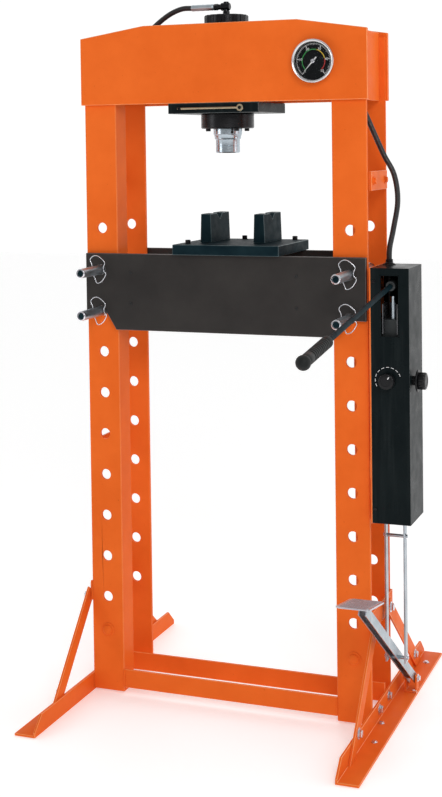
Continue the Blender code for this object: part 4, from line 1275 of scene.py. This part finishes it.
def build_cover_details():
    """Cheeks behind the handle's slot, the slot's lips, the hose's grommet and the cover's screws."""
    inside = COVER_LOW.y + COVER_SHEET
    cheeks = bmesh.new()
    for x in CHEEK_X:
        low = at(x - 0.0010, 0, CHEEK_HEIGHTS[0])
        high = at(x + 0.0010, 0, CHEEK_HEIGHTS[1])
        low.y = inside
        high.y = inside + CHEEK_DEPTH
        absorb(cheeks, box_shape(low, high))
    # The cheeks take the lighter black oxide as a painted highlight.
    bevel(finish_mesh("slot_cheeks", cheeks, ["oxide_highlight"], "frame"), 0.0004)
    lips = bmesh.new()
    (left, bottom), (right, top) = LIP_OUTER
    (inner_left, inner_bottom), (inner_right, inner_top) = LIP_INNER
    bars = (
        (left, bottom, inner_left, top),
        (inner_right, bottom, right, top),
        (left, bottom, right, inner_bottom),
        (left, inner_top, right, top),
    )
    for x0, z0, x1, z1 in bars:
        low = at(x0, 0, z0)
        high = at(x1, 0, z1)
        low.y = COVER_LOW.y - 0.0010
        high.y = COVER_LOW.y + 0.0002
        absorb(lips, box_shape(low, high))
    bevel(finish_mesh("slot_lips", lips, ["black"], "frame"), 0.0004)
    grommet = turned_shape([(0.0122, 0), (0.0160, 0), (0.0160, 0.0016), (0.0140, 0.0030), (0.0122, 0.0030)],
                           at(*HOSE_ROUTE[0][:2], COVER_HIGH.z), (0, 0, 1), 48)
    finish_mesh("hose_grommet", grommet, ["grip"], "frame")
    screws = bmesh.new()
    for y, out, heights in ((COVER_HIGH.y, 1, BACK_SCREW_HEIGHTS), (COVER_LOW.y, -1, FRONT_SCREW_HEIGHTS)):
        for z in heights:
            place = at(COVER_SCREW_X, 0, z)
            place.y = y
            absorb(screws, cap_screw(place, (0, out, 0), *COVER_SCREW))
    finish_mesh("cover_screws", screws, ["oxide"], "frame")


GRIP_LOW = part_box("handle_grip")[0]
PIVOT = Vector(next(j["pos_m"] for j in frame["joints"] if j["name"] == "handle_pivot"))
BALL_RADIUS = 0.016
BALL_CENTRE = Vector((PIVOT.x, GRIP_LOW.y + BALL_RADIUS, GRIP_LOW.z + BALL_RADIUS))
HANDLE_LINE = (BALL_CENTRE - PIVOT).normalized()
HANDLE_REACH = (BALL_CENTRE - PIVOT).length
GRIP_LENGTH = 0.1718
GRIP_START = HANDLE_REACH - GRIP_LENGTH
GRIP_RADIUS = 0.0135
GRIP_RIBS = 11
GRIP_RIB_PITCH = 0.0105
ROD_START = 0.0703
ROD_RADIUS = 0.0065


def along_handle(distance):
    """Point on the handle's line."""
    return PIVOT + HANDLE_LINE * distance


def build_handle():
    reach = GRIP_START + 0.02 - ROD_START
    rod = turned_shape([(0, 0), (0.0060, 0), (ROD_RADIUS, 0.0006), (ROD_RADIUS, reach), (0, reach)],
                       along_handle(ROD_START), HANDLE_LINE, 48)
    stand_for("handle_rod", rod, ["slate"])
    radius = GRIP_RADIUS
    profile = [(0.0067, 0.0), (radius - 0.0035, 0.0), (radius - 0.0010, 0.0012), (radius, 0.0040)]
    length = HANDLE_REACH - GRIP_START
    for k in range(GRIP_RIBS):
        place = 0.022 + k * GRIP_RIB_PITCH
        profile += [(radius, place), (radius - 0.0011, place + 0.0012), (radius - 0.0011, place + 0.0034),
                    (radius, place + 0.0046)]
    profile.append((radius, length - 0.0145))
    meet = math.asin(0.0125 / BALL_RADIUS)
    for step in range(15):
        angle = meet + (math.pi - meet) * step / 14
        ring = BALL_RADIUS * math.sin(angle) if step < 14 else 0
        profile.append((ring, length - BALL_RADIUS * math.cos(angle)))
    profile.insert(0, (0.0067, 0.030))
    profile.insert(0, (0, 0.030))
    grip = turned_shape(profile, along_handle(GRIP_START), HANDLE_LINE, 64)
    stand_for("handle_grip", grip, ["grip"], 45)


build_release_knob()
build_release_scale()
build_side_knob()
build_cover_details()
build_handle()


# ---- pedal ---------------------------------------------------------------------------------------------
TREAD_TILT = math.radians(9.6)
TREAD_HALF_DEPTH = 0.069
TREAD_BARS = 13
TREAD_BAR_PITCH = 0.0100


def build_tread():
    """Foot tread with rounded corners and raised bars across it."""
    low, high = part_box("pedal_tread")
    middle = (low + high) / 2
    half_x = (high.x - low.x) / 2
    half_y = TREAD_HALF_DEPTH
    plate = box_shape((-half_x, -half_y, -0.0025), (half_x, half_y, 0.0015))
    upright_edges = [e for e in plate.edges if abs(e.verts[0].co.z - e.verts[1].co.z) > 0.003]
    bmesh.ops.bevel(plate, geom=upright_edges, offset=0.007, segments=5, affect="EDGES")
    for k in range(TREAD_BARS):
        y = -half_y + 0.0095 + k * TREAD_BAR_PITCH
        bar = box_shape((-half_x + 0.008, y - 0.0016, 0.0014), (half_x - 0.008, y + 0.0016, 0.0026))
        absorb(plate, bar)
    plate.transform(Matrix.Translation(middle) @ Matrix.Rotation(-TREAD_TILT, 4, "X"))
    # The tread's rounded edges take bright zinc as a painted highlight.
    bevel(stand_for("pedal_tread", plate, ["tread", "bright"]), 0.0005, 2, 1)


PEDAL_PIVOT = Vector(next(j["pos_m"] for j in frame["joints"] if j["name"] == "pedal_pivot"))
LINK_PIVOT = Vector(next(j["pos_m"] for j in frame["joints"] if j["name"] == "link_pivot"))


LINK_PIN_LOW = 0.465
# Outer and inner face of the link bars.
LINK_FACES = ((1, 0.4526), (-1, 0.3984))
FOOT_TOP = 0.006
FOOT_BOLTS = (
    (0.416, -0.094),
    (0.404, 0.022),
    (0.435, 0.250),
    (0.418, 0.470),
    (-0.416, -0.094),
    (-0.404, 0.022),
    (-0.418, 0.470),
)
# Width across the flats and height of each kind of bolt head.
PEDAL_BOLT = (0.012, 0.0065)
FOOT_BOLT = (0.010, 0.0045)


def build_pedal_pins():
    """Bolt through the bracket, keepers on the link bars' pins, and the bolts through the feet."""
    low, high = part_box("pedal_bracket")
    bolts = bmesh.new()
    for sign, face in ((1, high.x), (-1, low.x)):
        place = Vector((face, PEDAL_PIVOT.y, PEDAL_PIVOT.z))
        absorb(bolts, hex_head(place, (sign, 0, 0), *PEDAL_BOLT))
    finish_mesh("pedal_pivot_bolt", bolts, ["bright"], "frame")
    keepers = bmesh.new()
    for z in (LINK_PIVOT.z, LINK_PIN_LOW):
        for sign, face in LINK_FACES:
            place = Vector((face + MIDDLE_X, LINK_PIVOT.y, z))
            profile = [(0.0046, 0), (0.0078, 0), (0.0080, 0.0003), (0.0080, 0.0014), (0.0046, 0.0014)]
            absorb(keepers, turned_shape(profile, place, (sign, 0, 0), 32))
    finish_mesh("link_keepers", keepers, ["bright"], "link_bars")
    feet = bmesh.new()
    for x, y in FOOT_BOLTS:
        absorb(feet, hex_head(at(x, y, FOOT_TOP), (0, 0, 1), *FOOT_BOLT))
    finish_mesh("foot_bolts", feet, ["bright"], "frame")


build_tread()
build_pedal_pins()
